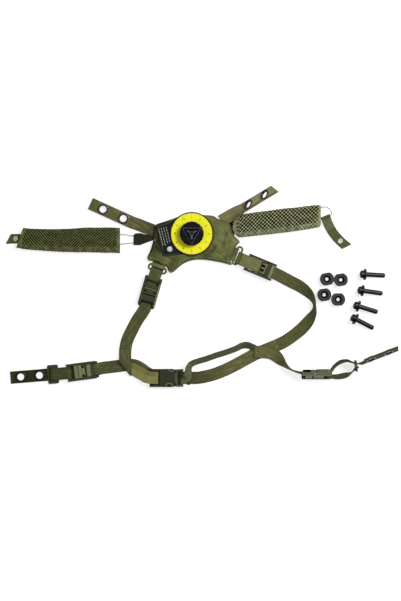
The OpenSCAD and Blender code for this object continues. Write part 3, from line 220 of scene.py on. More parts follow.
# tightly woven cover cloth with broad uneven tone
def buildCloth():
    tree, given = startGroup("coverCloth", {
        **tones("Cloth Shade Glint", "59603c 363b22 848a55"), "Thread": 0.9, "Blotch": 55.0, "Light": 0.6, "Dim": 0.0},
        "Color Height Roughness Fold")
    spot = addNode(tree, "ShaderNodeTexCoord", output="Object")
    scaled = addNode(tree, "ShaderNodeVectorMath", {0: spot, "Scale": 1000.0}, operation="SCALE")
    parts = addNode(tree, "ShaderNodeSeparateXYZ", {"Vector": scaled}, None)
    x, y = parts["X"], parts["Y"]
    angle = math.pi / given["Thread"]
    weave = sine((x * 0.9 + y * 0.44) * angle) * sine((y * 0.9 - x * 0.44) * angle)
    broad = patches(spot, given["Blotch"], 4.0, Distortion=0.6)
    fine = patches(spot, 900.0, 2.0)
    # the cover is darker towards its left end, where it turns away from the light
    left = fade(x, -28.0, -52.0) * (fade(y, 32.0, 52.0) * given["Dim"])
    tone = coated(given["Cloth"], (fade(broad, 0.56, 0.34) * 0.5, given["Shade"]),
                  (fade(broad, 0.55, 0.75) * given["Light"], given["Glint"]),
                  (fade(weave, -0.2, 0.8) * 0.28, given["Shade"]),
                  (fade(fine, 0.45, 0.65) * 0.25, given["Shade"]), (left, given["Shade"]))
    fold = patches(stretched(spot, Rotation=(0, 0, 0.9), Scale=(60, 170, 60)), 1.0, 2.0, Distortion=0.8)
    return closeGroup(tree, Fold=fold, Color=tone, Height=weave * 0.5 + fine, Roughness=fade(broad, 0.3, 0.7, 0.88, 0.72))


# moulded or coated surface: fine grain, softened edges, and edges painted lighter, partly as rubbed wear and partly as
# painted highlight
def buildSurface():
    tree, given = startGroup("handledSurface", {
        **tones("Base Rubbed Dust", "30331d 6c7048 4b4d3a"), "Edge": 0.5, "Rub": 0.6, "Smooth": 0.35, "Rough": 0.6},
        "Color Height Roughness Normal")
    spot = addNode(tree, "ShaderNodeTexCoord", output="Object")
    rounded = addNode(tree, "ShaderNodeBevel", {"Radius": given["Edge"] * mm}, samples=6)
    flat = addNode(tree, "ShaderNodeNewGeometry", output="True Normal")
    facing = addNode(tree, "ShaderNodeVectorMath", {0: rounded, 1: flat}, "Value", operation="DOT_PRODUCT")
    grain, broad = patches(spot, 1400.0, 3.0), patches(spot, 90.0, 4.0)
    # the lighter edge colour is rubbed wear and also a painted highlight where edges catch the light
    edge = fade(facing, 0.995, 0.86) * fade(broad, 0.3, 0.6, 0.45, 1.0)
    tone = coated(given["Base"], (fade(broad, 0.5, 0.75) * 0.35, given["Dust"]), (edge * given["Rub"], given["Rubbed"]))
    rough = given["Smooth"] + (given["Rough"] - given["Smooth"]) * fade(broad * 0.6 + grain * 0.4, 0.35, 0.65)
    return closeGroup(tree, Color=tone, Height=grain, Roughness=rough, Normal=rounded)


# braided lace: two sets of crossing strands; UVs are in millimetres
def buildBraid():
    tree, given = startGroup("braidedLace", {**tones("Strand Gap", "a8a8b0 5a5a64"), "Lay": 1.3}, "Color Height")
    uv, around, along = mapped(tree, "webUV")
    height = calc("MAXIMUM", *[sine(run * (2 * math.pi) / given["Lay"]) for run in (along + around, along - around)])
    return closeGroup(tree, Color=blend(fade(height, -0.3, 0.6), given["Gap"], given["Strand"]), Height=height)


groups = {"webbing": buildWebbing(), "knit": buildKnit(), "cloth": buildCloth(), "surface": buildSurface(),
          "braid": buildBraid()}
materials = {}


# bump is the relief's strength and its depth in millimetres
def makeMaterial(key, kind, values, bump, level=0.3, metallic=0.0, fold=0.0, name=None):
    first, *more = key.split("_")
    material = bpy.data.materials.new(name or first + "".join(word.capitalize() for word in more))
    material.use_nodes = True
    tree = material.node_tree
    finish = addNode(tree, "ShaderNodeGroup", values, None, node_tree=groups[kind])
    relief = {"Height": finish["Height"], "Strength": bump[0], "Distance": bump[1] * mm}
    if fold:
        folded = {"Height": finish["Fold"], "Strength": 0.8, "Distance": fold * mm}
        relief["Normal"] = addNode(tree, "ShaderNodeBump", folded)
    elif "Normal" in finish:
        relief["Normal"] = finish["Normal"]
    shown = {"Metallic": metallic, "Specular IOR Level": level, "Base Color": finish["Color"],
             "Roughness": finish.get("Roughness", 0.7), "Normal": addNode(tree, "ShaderNodeBump", relief)}
    for label, value in shown.items():
        feed(tree.nodes["Principled BSDF"].inputs[label], value)
    materials[key] = material


# webbing: colours of cloth, shade and glints, mottle, and where along a strap the painted shade darkens it from, to,
# and how much
for key, colours, mottle, darker in (
        # paleWebbing and tipWebbing are lighter copies that paint light on the chin end and the rear right strap's
        # raised tip; darkWebbing is a darker copy that paints shade on the left leg strap and the front left strap
        ("webbing", "62623a 323419 928d5e", 0.6, None),
        ("paleWebbing", "84834f 5a5a30 aaa86c", 0.5, None),
        ("darkWebbing", "505331 292c17 7c7850", 0.55, None),
        ("deepWebbing", "4a4d2c 13150b 66683e", 0.35, (58.0, 40.0, 0.66)),
        ("tipWebbing", "a3a070 4e4d30 c6c291", 0.6, (40.0, 62.0, 0.6)),
        ("rearWebbing", "605f3a 2c2e18 8c875a", 0.6, (62.0, 88.0, 0.5)),
        ("legWebbing", "76754b 33361d a19c6a", 0.45, (36.0, 50.0, 0.58)),
        ("chinWebbing", "64643c 2c2e18 928d5e", 0.5, (66.0, 22.0, 0.5)),
        ("greyWebbing", "62674a 343820 828a6c", 0.4, None)):
    values = {**tones("Cloth Shade Glint", colours), "Mottle": mottle, **dict(zip(("From", "To", "Deepen"), darker or ()))}
    makeMaterial(key, "webbing", values, (0.6, 0.3), 0.1)
makeMaterial("tab_webbing", "webbing", {
    **tones("Cloth Shade Glint", "555833 2e3119 77784a"), "Width": 12.5, "Mottle": 0.3, "Rib": 1.2}, (0.5, 0.25), 0.1)

for key, colours, more, bump, level in (
        ("pad_cloth", "6b6e42 2f341b 969658", {"Light": 0.45, "Dim": 1.0}, (0.35, 0.2), 0.1),
        ("label", "1b1c1d 0c0d0e 333438", {"Thread": 0.7, "Blotch": 70.0, "Light": 0.4}, (0.3, 0.15), 0.15),
        ("thread", "92925e 55572e aeae78", {"Blotch": 300.0}, (0.2, 0.1), 0.15),
        ("paleThread", "c8cac6 a2a4a0 eceeec", {"Blotch": 300.0}, (0.2, 0.1), 0.2)):
    makeMaterial(key, "cloth", {**tones("Cloth Shade Glint", colours), **more}, bump, level,
                 fold=2.0 if key == "pad_cloth" else 0.0, name="labelCloth" if key == "label" else None)
for key, name, colours, cell, gap in (("sleeve_mesh", "leftKnit", "3f4227 070903 75774a", 3.9, -0.05),
                                      ("rightKnit", "rightKnit", "5e623e 050602 acae86", 4.9, -0.12)):
    makeMaterial(key, "knit", {**tones("Yarn Deep Glint", colours), "Cell": cell, "Open": gap}, (0.5, 0.6), 0.1, name=name)
makeMaterial("lace", "braid", {}, (0.4, 0.2))

# moulded and metal surfaces: colours of base, of rubbed edges with painted highlight, and of dust; edge, share of
# rubbed and highlighted edge, least and most roughness; bump, gloss and metal
for key, colours, look, bump, level, metallic in (
        # the grip's and the nickel's pale edge colours are mostly painted highlight, bringing out the grip's triangle
        # and the eyelets' crescents
        ("gripGloss", "060608 9c9ca6 0c0c10", (1.0, 1.0, 0.14, 0.24), (0.05, 0.1), 0.06, 0.0),
        ("slotBlack", "050504 14140f 0b0b09", (0.4, 0.6, 0.35, 0.6), (0.05, 0.1), 0.05, 0.0),
        ("dial_black", "15160f 3c3e30 22231b", (0.5, 0.5, 0.4, 0.62), (0.12, 0.1), 0.16, 0.0),
        ("knob_gloss", "0a0a0c 38383e 121216", (0.4, 0.7, 0.14, 0.28), (0.05, 0.1), 0.09, 0.0),
        ("yellow_ring", "ebe61c f5f26a dfda20", (0.3, 0.3, 0.42, 0.55), (0.06, 0.1), 0.25, 0.0),
        ("dark_plastic", "1e1e1a 44443c 2b2b26", (0.4, 0.6, 0.35, 0.6), (0.1, 0.1), 0.2, 0.0),
        ("guide_black", "1c1e10 3a3d26 282a19", (0.6, 0.5, 0.5, 0.75), (0.3, 0.2), 0.12, 0.0),
        ("steel", "8c8c8c c8c8c8 74746f", (0.2, 0.4, 0.22, 0.42), (0.05, 0.05), 0.3, 1.0),
        ("snap_metal", "a9a99c d8d8cc 7c7c70", (0.3, 0.6, 0.25, 0.45), (0.08, 0.05), 0.3, 0.9),
        ("nickel", "3c3836 f0ece6 1e1b1a", (0.55, 0.7, 0.12, 0.3), (0.06, 0.05), 0.3, 1.0),
        # a darker copy of nickel that paints the shade on the rear right strap's tilted grommets
        ("darkNickel", "332a28 a0968c 1c1615", (0.35, 0.8, 0.14, 0.32), (0.06, 0.05), 0.3, 1.0),
        ("bronze", "241f1a 948a7a 16120e", (0.35, 0.8, 0.18, 0.38), (0.06, 0.05), 0.3, 1.0),
        ("ring_paint", "4d5137 8d9078 3b3f28", (0.4, 0.6, 0.3, 0.5), (0.1, 0.1), 0.3, 0.0),
        ("buckle_plastic", "2b2e19 72744a 3c3f24", (0.5, 0.8, 0.3, 0.52), (0.15, 0.1), 0.22, 0.0),
        ("lever_plastic", "2e311c 7c7e52 44462a", (0.45, 0.85, 0.28, 0.5), (0.15, 0.1), 0.25, 0.0),
        ("paleLever", "6a6b49 a5a47c 7b7b57", (0.45, 0.85, 0.3, 0.5), (0.15, 0.1), 0.3, 0.0),
        ("clip_plastic", "252815 6b6e42 34371d", (0.5, 0.8, 0.34, 0.56), (0.15, 0.1), 0.18, 0.0),
        ("plugPlastic", "44472b 8d8e62 53563a", (0.5, 0.8, 0.3, 0.52), (0.15, 0.1), 0.25, 0.0),
        ("bolt_black", "080809 3a3a3c 101011", (0.35, 0.6, 0.24, 0.42), (0.15, 0.1), 0.2, 0.0),
        ("nut_black", "2e2e2f 707071 3a3a3a", (0.6, 0.7, 0.36, 0.55), (0.15, 0.1), 0.16, 0.0)):
    values = {**tones("Base Rubbed Dust", colours), **dict(zip(("Edge", "Rub", "Smooth", "Rough"), look))}
    makeMaterial(key, "surface", values, bump, level, metallic)
print("materials built:", len(materials))

# every CAD node that stays gets its finish; sharp edges stay sharp, round faces shade smoothly
variants = {"dial_screw": "bolt_black", "dial_grip": "gripGloss", "front_left_lever": "paleLever",
            "front_right_frame": "plugPlastic", "chin_plug": "plugPlastic", "rear_right_grommets": "darkNickel"}
cadSharp = 28
for part in frame["record"]["subparts"]:
    shown = cadNodes[part["node"]]
    finish = materials[variants.get(part["node"], part["material_slot"])]
    if shown.data.materials:
        for index in range(len(shown.data.materials)):
            shown.data.materials[index] = finish
    else:
        shown.data.materials.append(finish)
    shown.data.shade_smooth()
    shown.data.set_sharp_from_angle(angle=math.radians(cadSharp))
print("CAD nodes dressed:", len(cadNodes))

# the webbing's sizes and the buckles' places, in millimetres and degrees
web = {"w": 16, "t": 1.6, "gap": 0.3, "steps": 8}
grommets = {"bore": 5.1, "lip": 0.55, "flange": 7.1, "rear": [18, 47], "front": [13.5, 37.9]}
cam = {"out": 11.4, "h": 7.6, "low": 1.35, "loopIn": 2.0, "loopZ": 3.65}
leftLeg = {"at": [-62.5, 10], "turn": -106}
rightLeg = {"at": [60.5, 31.6], "turn": -22.5}
frontLeft = {"at": [-172.5, -112], "turn": 7.5}
frontRight = {"at": [165.5, -110], "turn": 180, "roll": 75}
clip = {"top": 9.05, "half": 11.5, "socketBar": [-59.2, -118.3], "plugBar": [-25.7, -118.4], "barZ": 4.85,
        "turnR": 1.5, "keepLift": 0.45}
ring = {"half": 3.4, "left": ([-57.6, 23.4], -110), "right": ([46.4, 40.4], -21)}
dial = [-13, 68.5]
strapLift = grommets["lip"] + 0.05
upward = Vector((0, 0, 1))
harnessThread = bmesh.new()


# points, curves and bands
def rad(value):
    return math.radians(value)


def unit(value):
    return min(1.0, max(0.0, value))


def fromDial(x, y):
    return math.hypot(x - dial[0], y - dial[1])


def bend(a, b, c, d, t):
    return [0.5 * (2 * q + (r - p) * t + (2 * p - 5 * q + 4 * r - s) * t * t + (3 * q - p - 3 * r + s) * t ** 3)
            for p, q, r, s in zip(a, b, c, d)]


def smooth(points, steps):
    last = len(points) - 1
    path = [bend(points[max(i - 1, 0)], points[i], points[i + 1], points[min(i + 2, last)], k / steps)
            for i in range(last) for k in range(steps)]
    return path + [list(points[-1])]


def ahead(point, turn, distance):
    return [point[0] + distance * math.cos(rad(turn)), point[1] + distance * math.sin(rad(turn))]


def place(point, turn, height=0.0):
    return Matrix.Translation((point[0], point[1], height)) @ Matrix.Rotation(rad(turn), 4, "Z")


def edgeDrop(roll, width=web["w"], thick=web["t"]):
    return width / 2 * abs(math.sin(rad(roll))) + thick / 2 * abs(math.cos(rad(roll)))


def stepLengths(points):
    return [(b - a).length for a, b in zip(points, points[1:])]


def bandLength(frames):
    return sum(stepLengths([frame[0] for frame in frames]))


def stripFrames(stations, width=web["w"], thick=web["t"], steps=web["steps"]):
    # stations are x, y, height of the underside, roll, thickness factor and skew;
    # each frame is (middle, half across, half thickness) as vectors in millimetres
    rows = smooth([list(s) + [1, 0][len(s) - 4:] for s in stations], steps)
    middles = [Vector((s[0], s[1], s[2] + edgeDrop(s[3], width, thick * s[4]))) for s in rows]
    # uneven stations can make the curve step back on itself: those points are left out
    kept = [0]
    for i in range(1, len(rows)):
        step = middles[i] - middles[kept[-1]]
        if step.length > 0.4 and (len(kept) < 2 or step.dot(middles[kept[-1]] - middles[kept[-2]]) > 0):
            kept.append(i)
    rows, middles = [rows[i] for i in kept], [middles[i] for i in kept]
    frames = []
    for i, s in enumerate(rows):
        run = (middles[min(i + 1, len(rows) - 1)] - middles[max(i - 1, 0)]).normalized()
        side = upward.cross(run).normalized()
        up = run.cross(side)
        roll = rad(s[3])
        across = (side * math.cos(roll) + up * math.sin(roll) + run * s[5]) * width / 2
        face = (up * math.cos(roll) - side * math.sin(roll)) * thick * s[4] / 2
        frames.append((middles[i], across, face))
    return frames


def sideFrames(points, matrix, width=web["w"], thick=web["t"], closed=False):
    # points are (along, height) in the matrix's upright plane
    count = len(points)
    turn = matrix.to_3x3()
    frames = []
    for i, p in enumerate(points):
        after = points[(i + 1) % count] if closed else points[min(i + 1, count - 1)]
        before = points[i - 1] if closed or i else points[0]
        run = Vector((after[0] - before[0], 0, after[1] - before[1])).normalized()
        face = Vector((-run.z, 0, run.x))
        frames.append((matrix @ Vector((p[0], 0, p[1])), turn @ Vector((0, width / 2, 0)), turn @ face * thick / 2))
    return frames


def arc(centre, radius, start, end, count=14):
    return [ahead(centre, start + (end - start) * k / count, radius) for k in range(count + 1)]


def halfTurn(matrix, radius, width=web["w"], thick=web["t"], count=14):
    # webbing round a bar, open towards the matrix's +X
    return sideFrames(arc([0, 0], radius + thick / 2, -90, -270, count), matrix, width, thick)


def circle(count, radius=1.0):
    return [(radius * math.cos(2 * math.pi * k / count), radius * math.sin(2 * math.pi * k / count)) for k in range(count)]


# quads between neighbouring rings of points; the ends are capped unless the row of rings closes on itself
def skin(mesh, rings, closed=False, across=None, along=None):
    count = len(rings[0])
    layer = mesh.loops.layers.uv["webUV"] if across else None
    for i in range(len(rings) if closed else len(rings) - 1):
        a, b = rings[i], rings[(i + 1) % len(rings)]
        for k in range(count):
            n = (k + 1) % count
            quad = mesh.faces.new((a[k], a[n], b[n], b[k]))
            if across:
                corners = ((k, i), (k + 1, i), (k + 1, i + 1), (k, i + 1))
                for loop, (u, v) in zip(quad.loops, corners):
                    loop[layer].uv = (across[u], along[v])
    if not closed:
        mesh.faces.new(rings[0][::-1])
        mesh.faces.new(rings[-1])


def newRing(mesh, points):
    return [mesh.verts.new(Vector(point) * mm) for point in points]


quarter = [(0, 0.94), (0.35, 0.96), (0.7, 1), (0.95, 1), (0.985, 0.75), (1, 0.35)]
bandProfile = ([(-a, -b) for a, b in quarter[:0:-1]] + [(a, -b) for a, b in quarter]
               + [(a, b) for a, b in quarter[:0:-1]] + [(-a, b) for a, b in quarter])


def addBand(mesh, frames, closed=False, ripple=0.0, seed=0.0):
    if "webUV" not in mesh.loops.layers.uv:
        mesh.loops.layers.uv.new("webUV")
    rings, runs = [], [0.0]
    for i, (middle, across, face) in enumerate(frames):
        if i:
            runs.append(runs[-1] + (middle - frames[i - 1][0]).length)
        share = min(1.0, i / 8, (len(frames) - 1 - i) / 8) if not closed else 0.0
        wobble = ripple * share * noise.noise(Vector((runs[-1] / 9, seed, 0.3)))
        swell = 1 + 0.012 * share * noise.noise(Vector((runs[-1] / 5, seed + 7, 0.7)))
        shifted = middle + face.normalized() * wobble
        rings.append(newRing(mesh, [shifted + across * a * swell + face * b for a, b in bandProfile]))
    width = frames[0][1].length * 2
    runs.append(runs[-1] + (frames[0][0] - frames[-1][0]).length)
    skin(mesh, rings, closed, [(a * 0.5 + 0.5) * width for a, b in bandProfile + bandProfile[:1]], runs)


def addPiece(piece, replaced=(), body="harness"):
    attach(piece, body)
    if replaced:
        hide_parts(*replaced)
    return piece


def finishPiece(name, mesh, material, replaced=(), body="harness", sharp=None):
    data = bpy.data.meshes.new(name)
    bmesh.ops.recalc_face_normals(mesh, faces=mesh.faces)
    if mesh.calc_volume(signed=True) < 0:
        bmesh.ops.reverse_faces(mesh, faces=mesh.faces)
    mesh.to_mesh(data)
    mesh.free()
    data.materials.append(materials[material])
    data.shade_smooth()
    if sharp:
        data.set_sharp_from_angle(angle=rad(sharp))
    return addPiece(addObject(name, data), replaced, body)


def finishStrap(name, node, look, *bands, slot="webbing", **first):
    # the settings are the first band's
    mesh = bmesh.new()
    for i, frames in enumerate(bands):
        addBand(mesh, frames, **({} if i else first))
    return finishPiece(name, mesh, look, [node] if node else [])


def applyModifiers(piece):
    graph = bpy.context.evaluated_depsgraph_get()
    graph.update()
    data = bpy.data.meshes.new_from_object(piece.evaluated_get(graph), preserve_all_data_layers=True, depsgraph=graph)
    piece.modifiers.clear()
    piece.data = data


def cutHoles(piece, centres, radius=grommets["bore"], depth=9, segments=40, overlaps=True):
    # punches round holes along the given (point, axis) pairs, in millimetres
    punch = bmesh.new()
    for point, axis in centres:
        turn = upward.rotation_difference(Vector(axis)).to_matrix().to_4x4()
        bmesh.ops.create_cone(punch, cap_ends=True, segments=segments, radius1=radius * mm, radius2=radius * mm,
                              depth=depth * mm, matrix=Matrix.Translation(Vector(point) * mm) @ turn)
    data = bpy.data.meshes.new("punch")
    punch.to_mesh(data)
    punch.free()
    tool = addObject("punch", data)
    cut = piece.modifiers.new("holes", "BOOLEAN")
    cut.object, cut.operation, cut.solver, cut.use_self = tool, "DIFFERENCE", "EXACT", overlaps
    applyModifiers(piece)
    bpy.data.objects.remove(tool)


def tiltedHoles(piece, end, height, distances):
    # holes through the webbing of a strap end that is rolled and slopes
    turn = place(end["tip"], end["turn"], height) @ Matrix.Rotation(rad(-end["slope"]), 4, "Y")
    axis = (turn.to_3x3() @ Matrix.Rotation(rad(end["roll"]), 3, "X")) @ upward
    cutHoles(piece, [(turn @ Vector((d, 0, 0)), axis) for d in distances])


# stitches lie on a band at (distance along, distance across, side of the webbing)
def onBand(frames, along, across):
    for i in range(len(frames) - 1):
        step = (frames[i + 1][0] - frames[i][0]).length
        if along <= step or i == len(frames) - 2:
            t = along / step if step else 0
            mix = [frames[i][k].lerp(frames[i + 1][k], t) for k in range(3)]
            return mix[0] + mix[1] * across / mix[1].length + mix[2] * 1.02, mix[2].normalized()
        along -= step


threadShape = ((0.0, 0.25, -0.5), (0.12, 0.8, 0.1), (0.5, 1.0, 0.45), (0.88, 0.8, 0.1), (1.0, 0.25, -0.5))


def addStitch(mesh, a, b, up, radius):
    # one raised thread between two needle holes
    run = b - a
    side = run.cross(up).normalized()
    skin(mesh, [newRing(mesh, [a + run * t + up * radius * lift + side * x + up * y for x, y in circle(6, radius * size)])
                for t, size, lift in threadShape])


def sewLine(mesh, points, ups=None, pitch=2.3, length=1.7, radius=0.26):
    # threads along a polyline with a surface normal at each point
    ups = ups or [upward] * len(points)
    steps = stepLengths(points)
    total = sum(steps)
    count = max(1, round(total / pitch))

    def at(distance):
        for i, step in enumerate(steps):
            if distance <= step or i == len(steps) - 1:
                t = unit(distance / step if step else 0)
                return points[i].lerp(points[i + 1], t), ups[i].lerp(ups[i + 1], t).normalized()
            distance -= step

    for k in range(count):
        middle = (k + 0.5) * total / count
        (a, up), (b, other) = at(middle - length / 2), at(middle + length / 2)
        if (b - a).length > 0.2:
            addStitch(mesh, a, b, (up + other).normalized(), radius)


def sewShown(mesh, spots, apart=0.0, **sizes):
    # sews the stretches between hidden spots, which are None; spots nearer than apart are left out
    stretch = []
    for spot in [*spots, None]:
        if spot is None:
            if len(stretch) > 2:
                sewLine(mesh, stretch, **sizes)
            stretch = []
        elif not stretch or (spot - stretch[-1]).length >= apart:
            stretch.append(spot)


def sewOnBand(frames, path, **sizes):
    # a polyline given in band coordinates, sampled so that it follows curves
    spots = []
    for (s0, a0), (s1, a1) in zip(path, path[1:]):
        parts = max(1, int(math.hypot(s1 - s0, a1 - a0) / 2))
        spots += [onBand(frames, s0 + (s1 - s0) * k / parts, a0 + (a1 - a0) * k / parts)
                  for k in range(parts + 1) if k or not spots]
    sewLine(harnessThread, [spot for spot, up in spots], [up for spot, up in spots], **sizes)


def boxStitch(frames, start, end, half):
    sewOnBand(frames, [(start, -half), (end, -half), (end, half), (start, half), (start, -half)])
    sewOnBand(frames, [(start, -half), (end, half)])
    sewOnBand(frames, [(start, half), (end, -half)])


def barStitch(frames, places, half=6.4):
    for s in places:
        sewOnBand(frames, [(s, -half), (s, half)], pitch=1.5, length=1.2)


def inBuckle(buckle, distance, lift, roll=0):
    return ahead(buckle["at"], buckle["turn"], distance) + [lift, roll]


# rear straps with two eyelets each; the left one's tip is doubled
rearLeft = {"tip": [-144.5, 108], "turn": -24.4, "doubled": 56.5, "fold": 1.4, "narrow": 0.05, "seam": 6.9}


def rearLine(distances, lift):
    return [ahead(rearLeft["tip"], rearLeft["turn"], d) + [lift, 0] for d in distances]


lower = stripFrames(rearLine([0, 20, 40, 56, 60], strapLift) + [
    [-83, 81, 0.6, 0], [-72, 76.6, 0.8, 0], [-64, 73.6, 0.9, 0], [-58.5, 71.6, 0.9, 0]])
upper = stripFrames(rearLine([rearLeft["fold"], 20, 40, rearLeft["doubled"]], strapLift + web["t"] - 0.02),
                    web["w"] - rearLeft["narrow"])
foldAt = place(ahead(rearLeft["tip"], rearLeft["turn"], rearLeft["fold"]), rearLeft["turn"], strapLift + web["t"])
fold = sideFrames(arc([0, 0], web["t"] / 2, -90, -270, 10), foldAt, web["w"] - rearLeft["narrow"], web["t"] * 0.98)
piece = finishStrap("rearLeftStrap", "rear_left_strap", "rearWebbing", lower, upper, fold, ripple=0.15, seed=1)
cutHoles(piece, [(spot[:3], upward) for spot in rearLine(grommets["rear"], strapLift + web["t"])])
barStitch(upper, [rearLeft["doubled"] - 3.4, rearLeft["doubled"] - 1.9], 6.6)
for edge in (-rearLeft["seam"], rearLeft["seam"]):
    sewOnBand(upper, [(4, edge), (rearLeft["doubled"] - 4, edge)])

rearRight = {"tip": [93.5, 125], "turn": -150, "slope": -36, "roll": 42, "high": 42, "slant": -0.75}
stations = []
for d in (0, 18, 36, 54.6, 57):
    lift = rearRight["high"] + d * math.sin(rad(rearRight["slope"])) - edgeDrop(rearRight["roll"])
    stations.append(ahead(rearRight["tip"], rearRight["turn"], d * math.cos(rad(rearRight["slope"])))
                    + [lift, rearRight["roll"], 1, 0 if d else rearRight["slant"]])
stations += [[47, 98.2, 2.2, 28], [41, 94.7, 1.2, 12], [35, 91.2, 0.9, 0], [29, 87.7, 0.9, 0], [24.5, 85.1, 0.9, 0]]
frames = stripFrames(stations)
piece = finishStrap("rearRightStrap", "rear_right_strap", "tipWebbing", frames)
tiltedHoles(piece, rearRight, rearRight["high"], grommets["rear"])
barStitch(frames, [3])
print("rear straps made")

# webbing loops between the wire rings and the leg buckles; the right one's buckle lies upside down
for name, node, look, buckle, ringAt, shift, lift in (
        ("leftLegLoop", "left_leg_loop", "darkWebbing", leftLeg, ring["left"], 0, 0),
        ("rightLegLoop", "right_leg_loop", "webbing", rightLeg, ring["right"], 2.4, cam["h"] - 2 * cam["loopZ"])):
    bow = ahead(ahead(ringAt[0], ringAt[1] - 90, shift), ringAt[1], ring["half"])
    gap = [buckle["at"][0] - bow[0], buckle["at"][1] - bow[1]]
    length, heading = math.hypot(*gap), math.degrees(math.atan2(gap[1], gap[0]))
    radius = cam["loopIn"] + web["t"] / 2
    low, high = [[[length * k / 5, cam["loopZ"] + side] for k in range(1, 5)] for side in (-radius, radius)]
    outline = arc([0, cam["loopZ"]], radius, 90, 270) + low + arc([length, cam["loopZ"]], radius, -90, 90) + high[::-1]
    finishStrap(name, node, look, sideFrames(outline, place(bow, heading, lift), closed=True), closed=True)
print("leg loops made")

# left leg strap: folds under itself at the junction and runs on to the chin buckle
legFold = {"at": [-99.4, -105], "turn": 51}
lowLift = web["t"] + web["gap"]
highLift = lowLift + web["t"] + 2 * web["gap"]
skew = math.tan(rad(legFold["turn"]))
overBar = clip["barZ"] + clip["turnR"]
underBar = clip["barZ"] - clip["turnR"] - web["t"]
legFrames = stripFrames([inBuckle(leftLeg, d, cam["low"]) for d in (3.7, 20, 36)] + [
    [-76, -32, 0.2, 0], [-83.5, -43, 0, 0], [-90.5, -56, 0, 0], [-96.6, -69, 0.2, 0], [-99, -80, 1.6, 0, 1, 0],
    [-99.4, -89, highLift - 0.3, 0, 1, skew * 0.45], [-99.4, -97, highLift, 0, 1, skew * 0.8],
    [*legFold["at"], highLift, 0, 1, skew]])
fold = halfTurn(place(legFold["at"], 90 - legFold["turn"], (lowLift + highLift + web["t"]) / 2),
                (highLift - lowLift - web["t"]) / 2, web["w"] / math.cos(rad(legFold["turn"])))
finishStrap("leftLegStrap", "left_leg_strap", "darkWebbing", legFrames, fold, ripple=0.2, seed=3)
chinFrames = stripFrames([
    [*legFold["at"], lowLift, 0, 1, -skew], [-95.6, -106, lowLift, 0, 1, -skew * 0.86],
    [-91, -107.4, lowLift + 0.1, 0, 1, -skew * 0.65], [-84, -110.2, lowLift + 0.9, 0, 1, -skew * 0.3],
    [-77, -113.9, lowLift + 2.4, 0], [-71, -116.8, lowLift + 4, 0], [-66, -118, overBar, 0],
    [*clip["socketBar"], overBar, 0]])
back = stripFrames([[*p, underBar, 0] for p in (clip["socketBar"], [-66, -118.1], [-71, -117.2], [-75, -115.8])], steps=5)
finishStrap("chinEnd", "left_leg_strap", "paleWebbing", chinFrames,
            halfTurn(place(clip["socketBar"], 180, clip["barZ"]), clip["turnR"]), back)
legEnd, chinAt = bandLength(legFrames), bandLength(chinFrames)
boxStitch(legFrames, legEnd - 22, legEnd - 10, 5.4)
barStitch(chinFrames, [chinAt - 10.5, chinAt - 12])

# front left strap runs beneath the left junction
frames = stripFrames([inBuckle(frontLeft, d, cam["low"]) for d in (3.7, 20, 36)] + [
    [-129, -105.6, 0.2, 0], [-119.5, -104.4, 0, 0], [-106.5, -102.8, 0, 0], [-95, -101.6, 0, 0],
    [-86, -102.6, 0, 0], [-78.5, -106.6, 0, 0], [-72, -111.4, 0, 0], [-66, -114.6, 0, 0]])
finishStrap("frontLeftStrap", "front_left_strap", "darkWebbing", frames, ripple=0.1, seed=5)
print("left junction made")

# right leg strap: its tail lies over the upside-down buckle, then it turns on edge and ends at the junction
webUnder = cam["h"] - cam["low"] - web["t"]
tail = cam["h"] + 0.15
frames = stripFrames([inBuckle(rightLeg, d, z) for d, z in (
    (-11, tail), (2, tail), (11.4, tail - 0.1), (14.2, tail - 1.4), (16.6, webUnder + 0.2), (20, webUnder), (28, webUnder),
    (37, webUnder - 0.2))] + [
    [104.5, 12.6, 1.2, 0], [116, 6.4, 0.2, 10], [129, -0.6, 0, 22], [139.5, -9.4, 0, 48], [144.6, -18, 0, 74],
    [146.2, -26, 0, 82], [144.6, -34.6, 0, 62], [139, -44, 0, 30], [131, -53.4, 0, 10], [120, -62.8, 0, 0],
    [108, -71, 0, 0], [99, -75.4, 0, 0]])
finishStrap("rightLegStrap", "right_leg_strap", "legWebbing", frames)
barStitch(frames, [2])
# its cut end runs a little way beneath the straps it is sewn to
cutEnd = [[104.5, -72.8, 0.03, 0], [100.5, -74.7, 0.03, 0], [96, -76.7, 0.03, 0]]
finishStrap("rightLegEnd", None, "webbing", stripFrames(cutEnd, web["w"], web["t"] - 0.1, 4))

# front right strap lies on the junction, then stands on edge into its buckle
junctionLift = web["t"] + 0.15
webMid = cam["low"] + web["t"] / 2
lean = rad(frontRight["roll"])
edgeLift = cam["out"] * math.sin(lean) + 0.05
edgeWeb = edgeLift + webMid * math.cos(lean) - edgeDrop(frontRight["roll"])
stations = [
    [68, -84.4, junctionLift, 0], [78, -84.8, junctionLift, 0], [88, -86, junctionLift, 0],
    [95, -89, junctionLift - 0.1, 8], [101, -94.4, 0.9, 34], [107, -100.8, 0.1, 66], [114, -106.4, 0.1, 84],
    [122, -110, 0.6, 85], [129, -111.8, 2.6, 79]]
for d in (30, 18, 3.8):
    x, y, lift, roll = inBuckle(frontRight, d, edgeWeb, frontRight["roll"])
    stations.append([x, y - webMid * math.sin(lean), lift, roll])
frames = stripFrames(stations)
finishStrap("frontRightStrap", "front_right_strap", "webbing", frames)
boxStitch(frames, 3, 21, 6)
sewOnBand(frames, [(3, -2), (9, 2), (15, -2), (21, 2)])

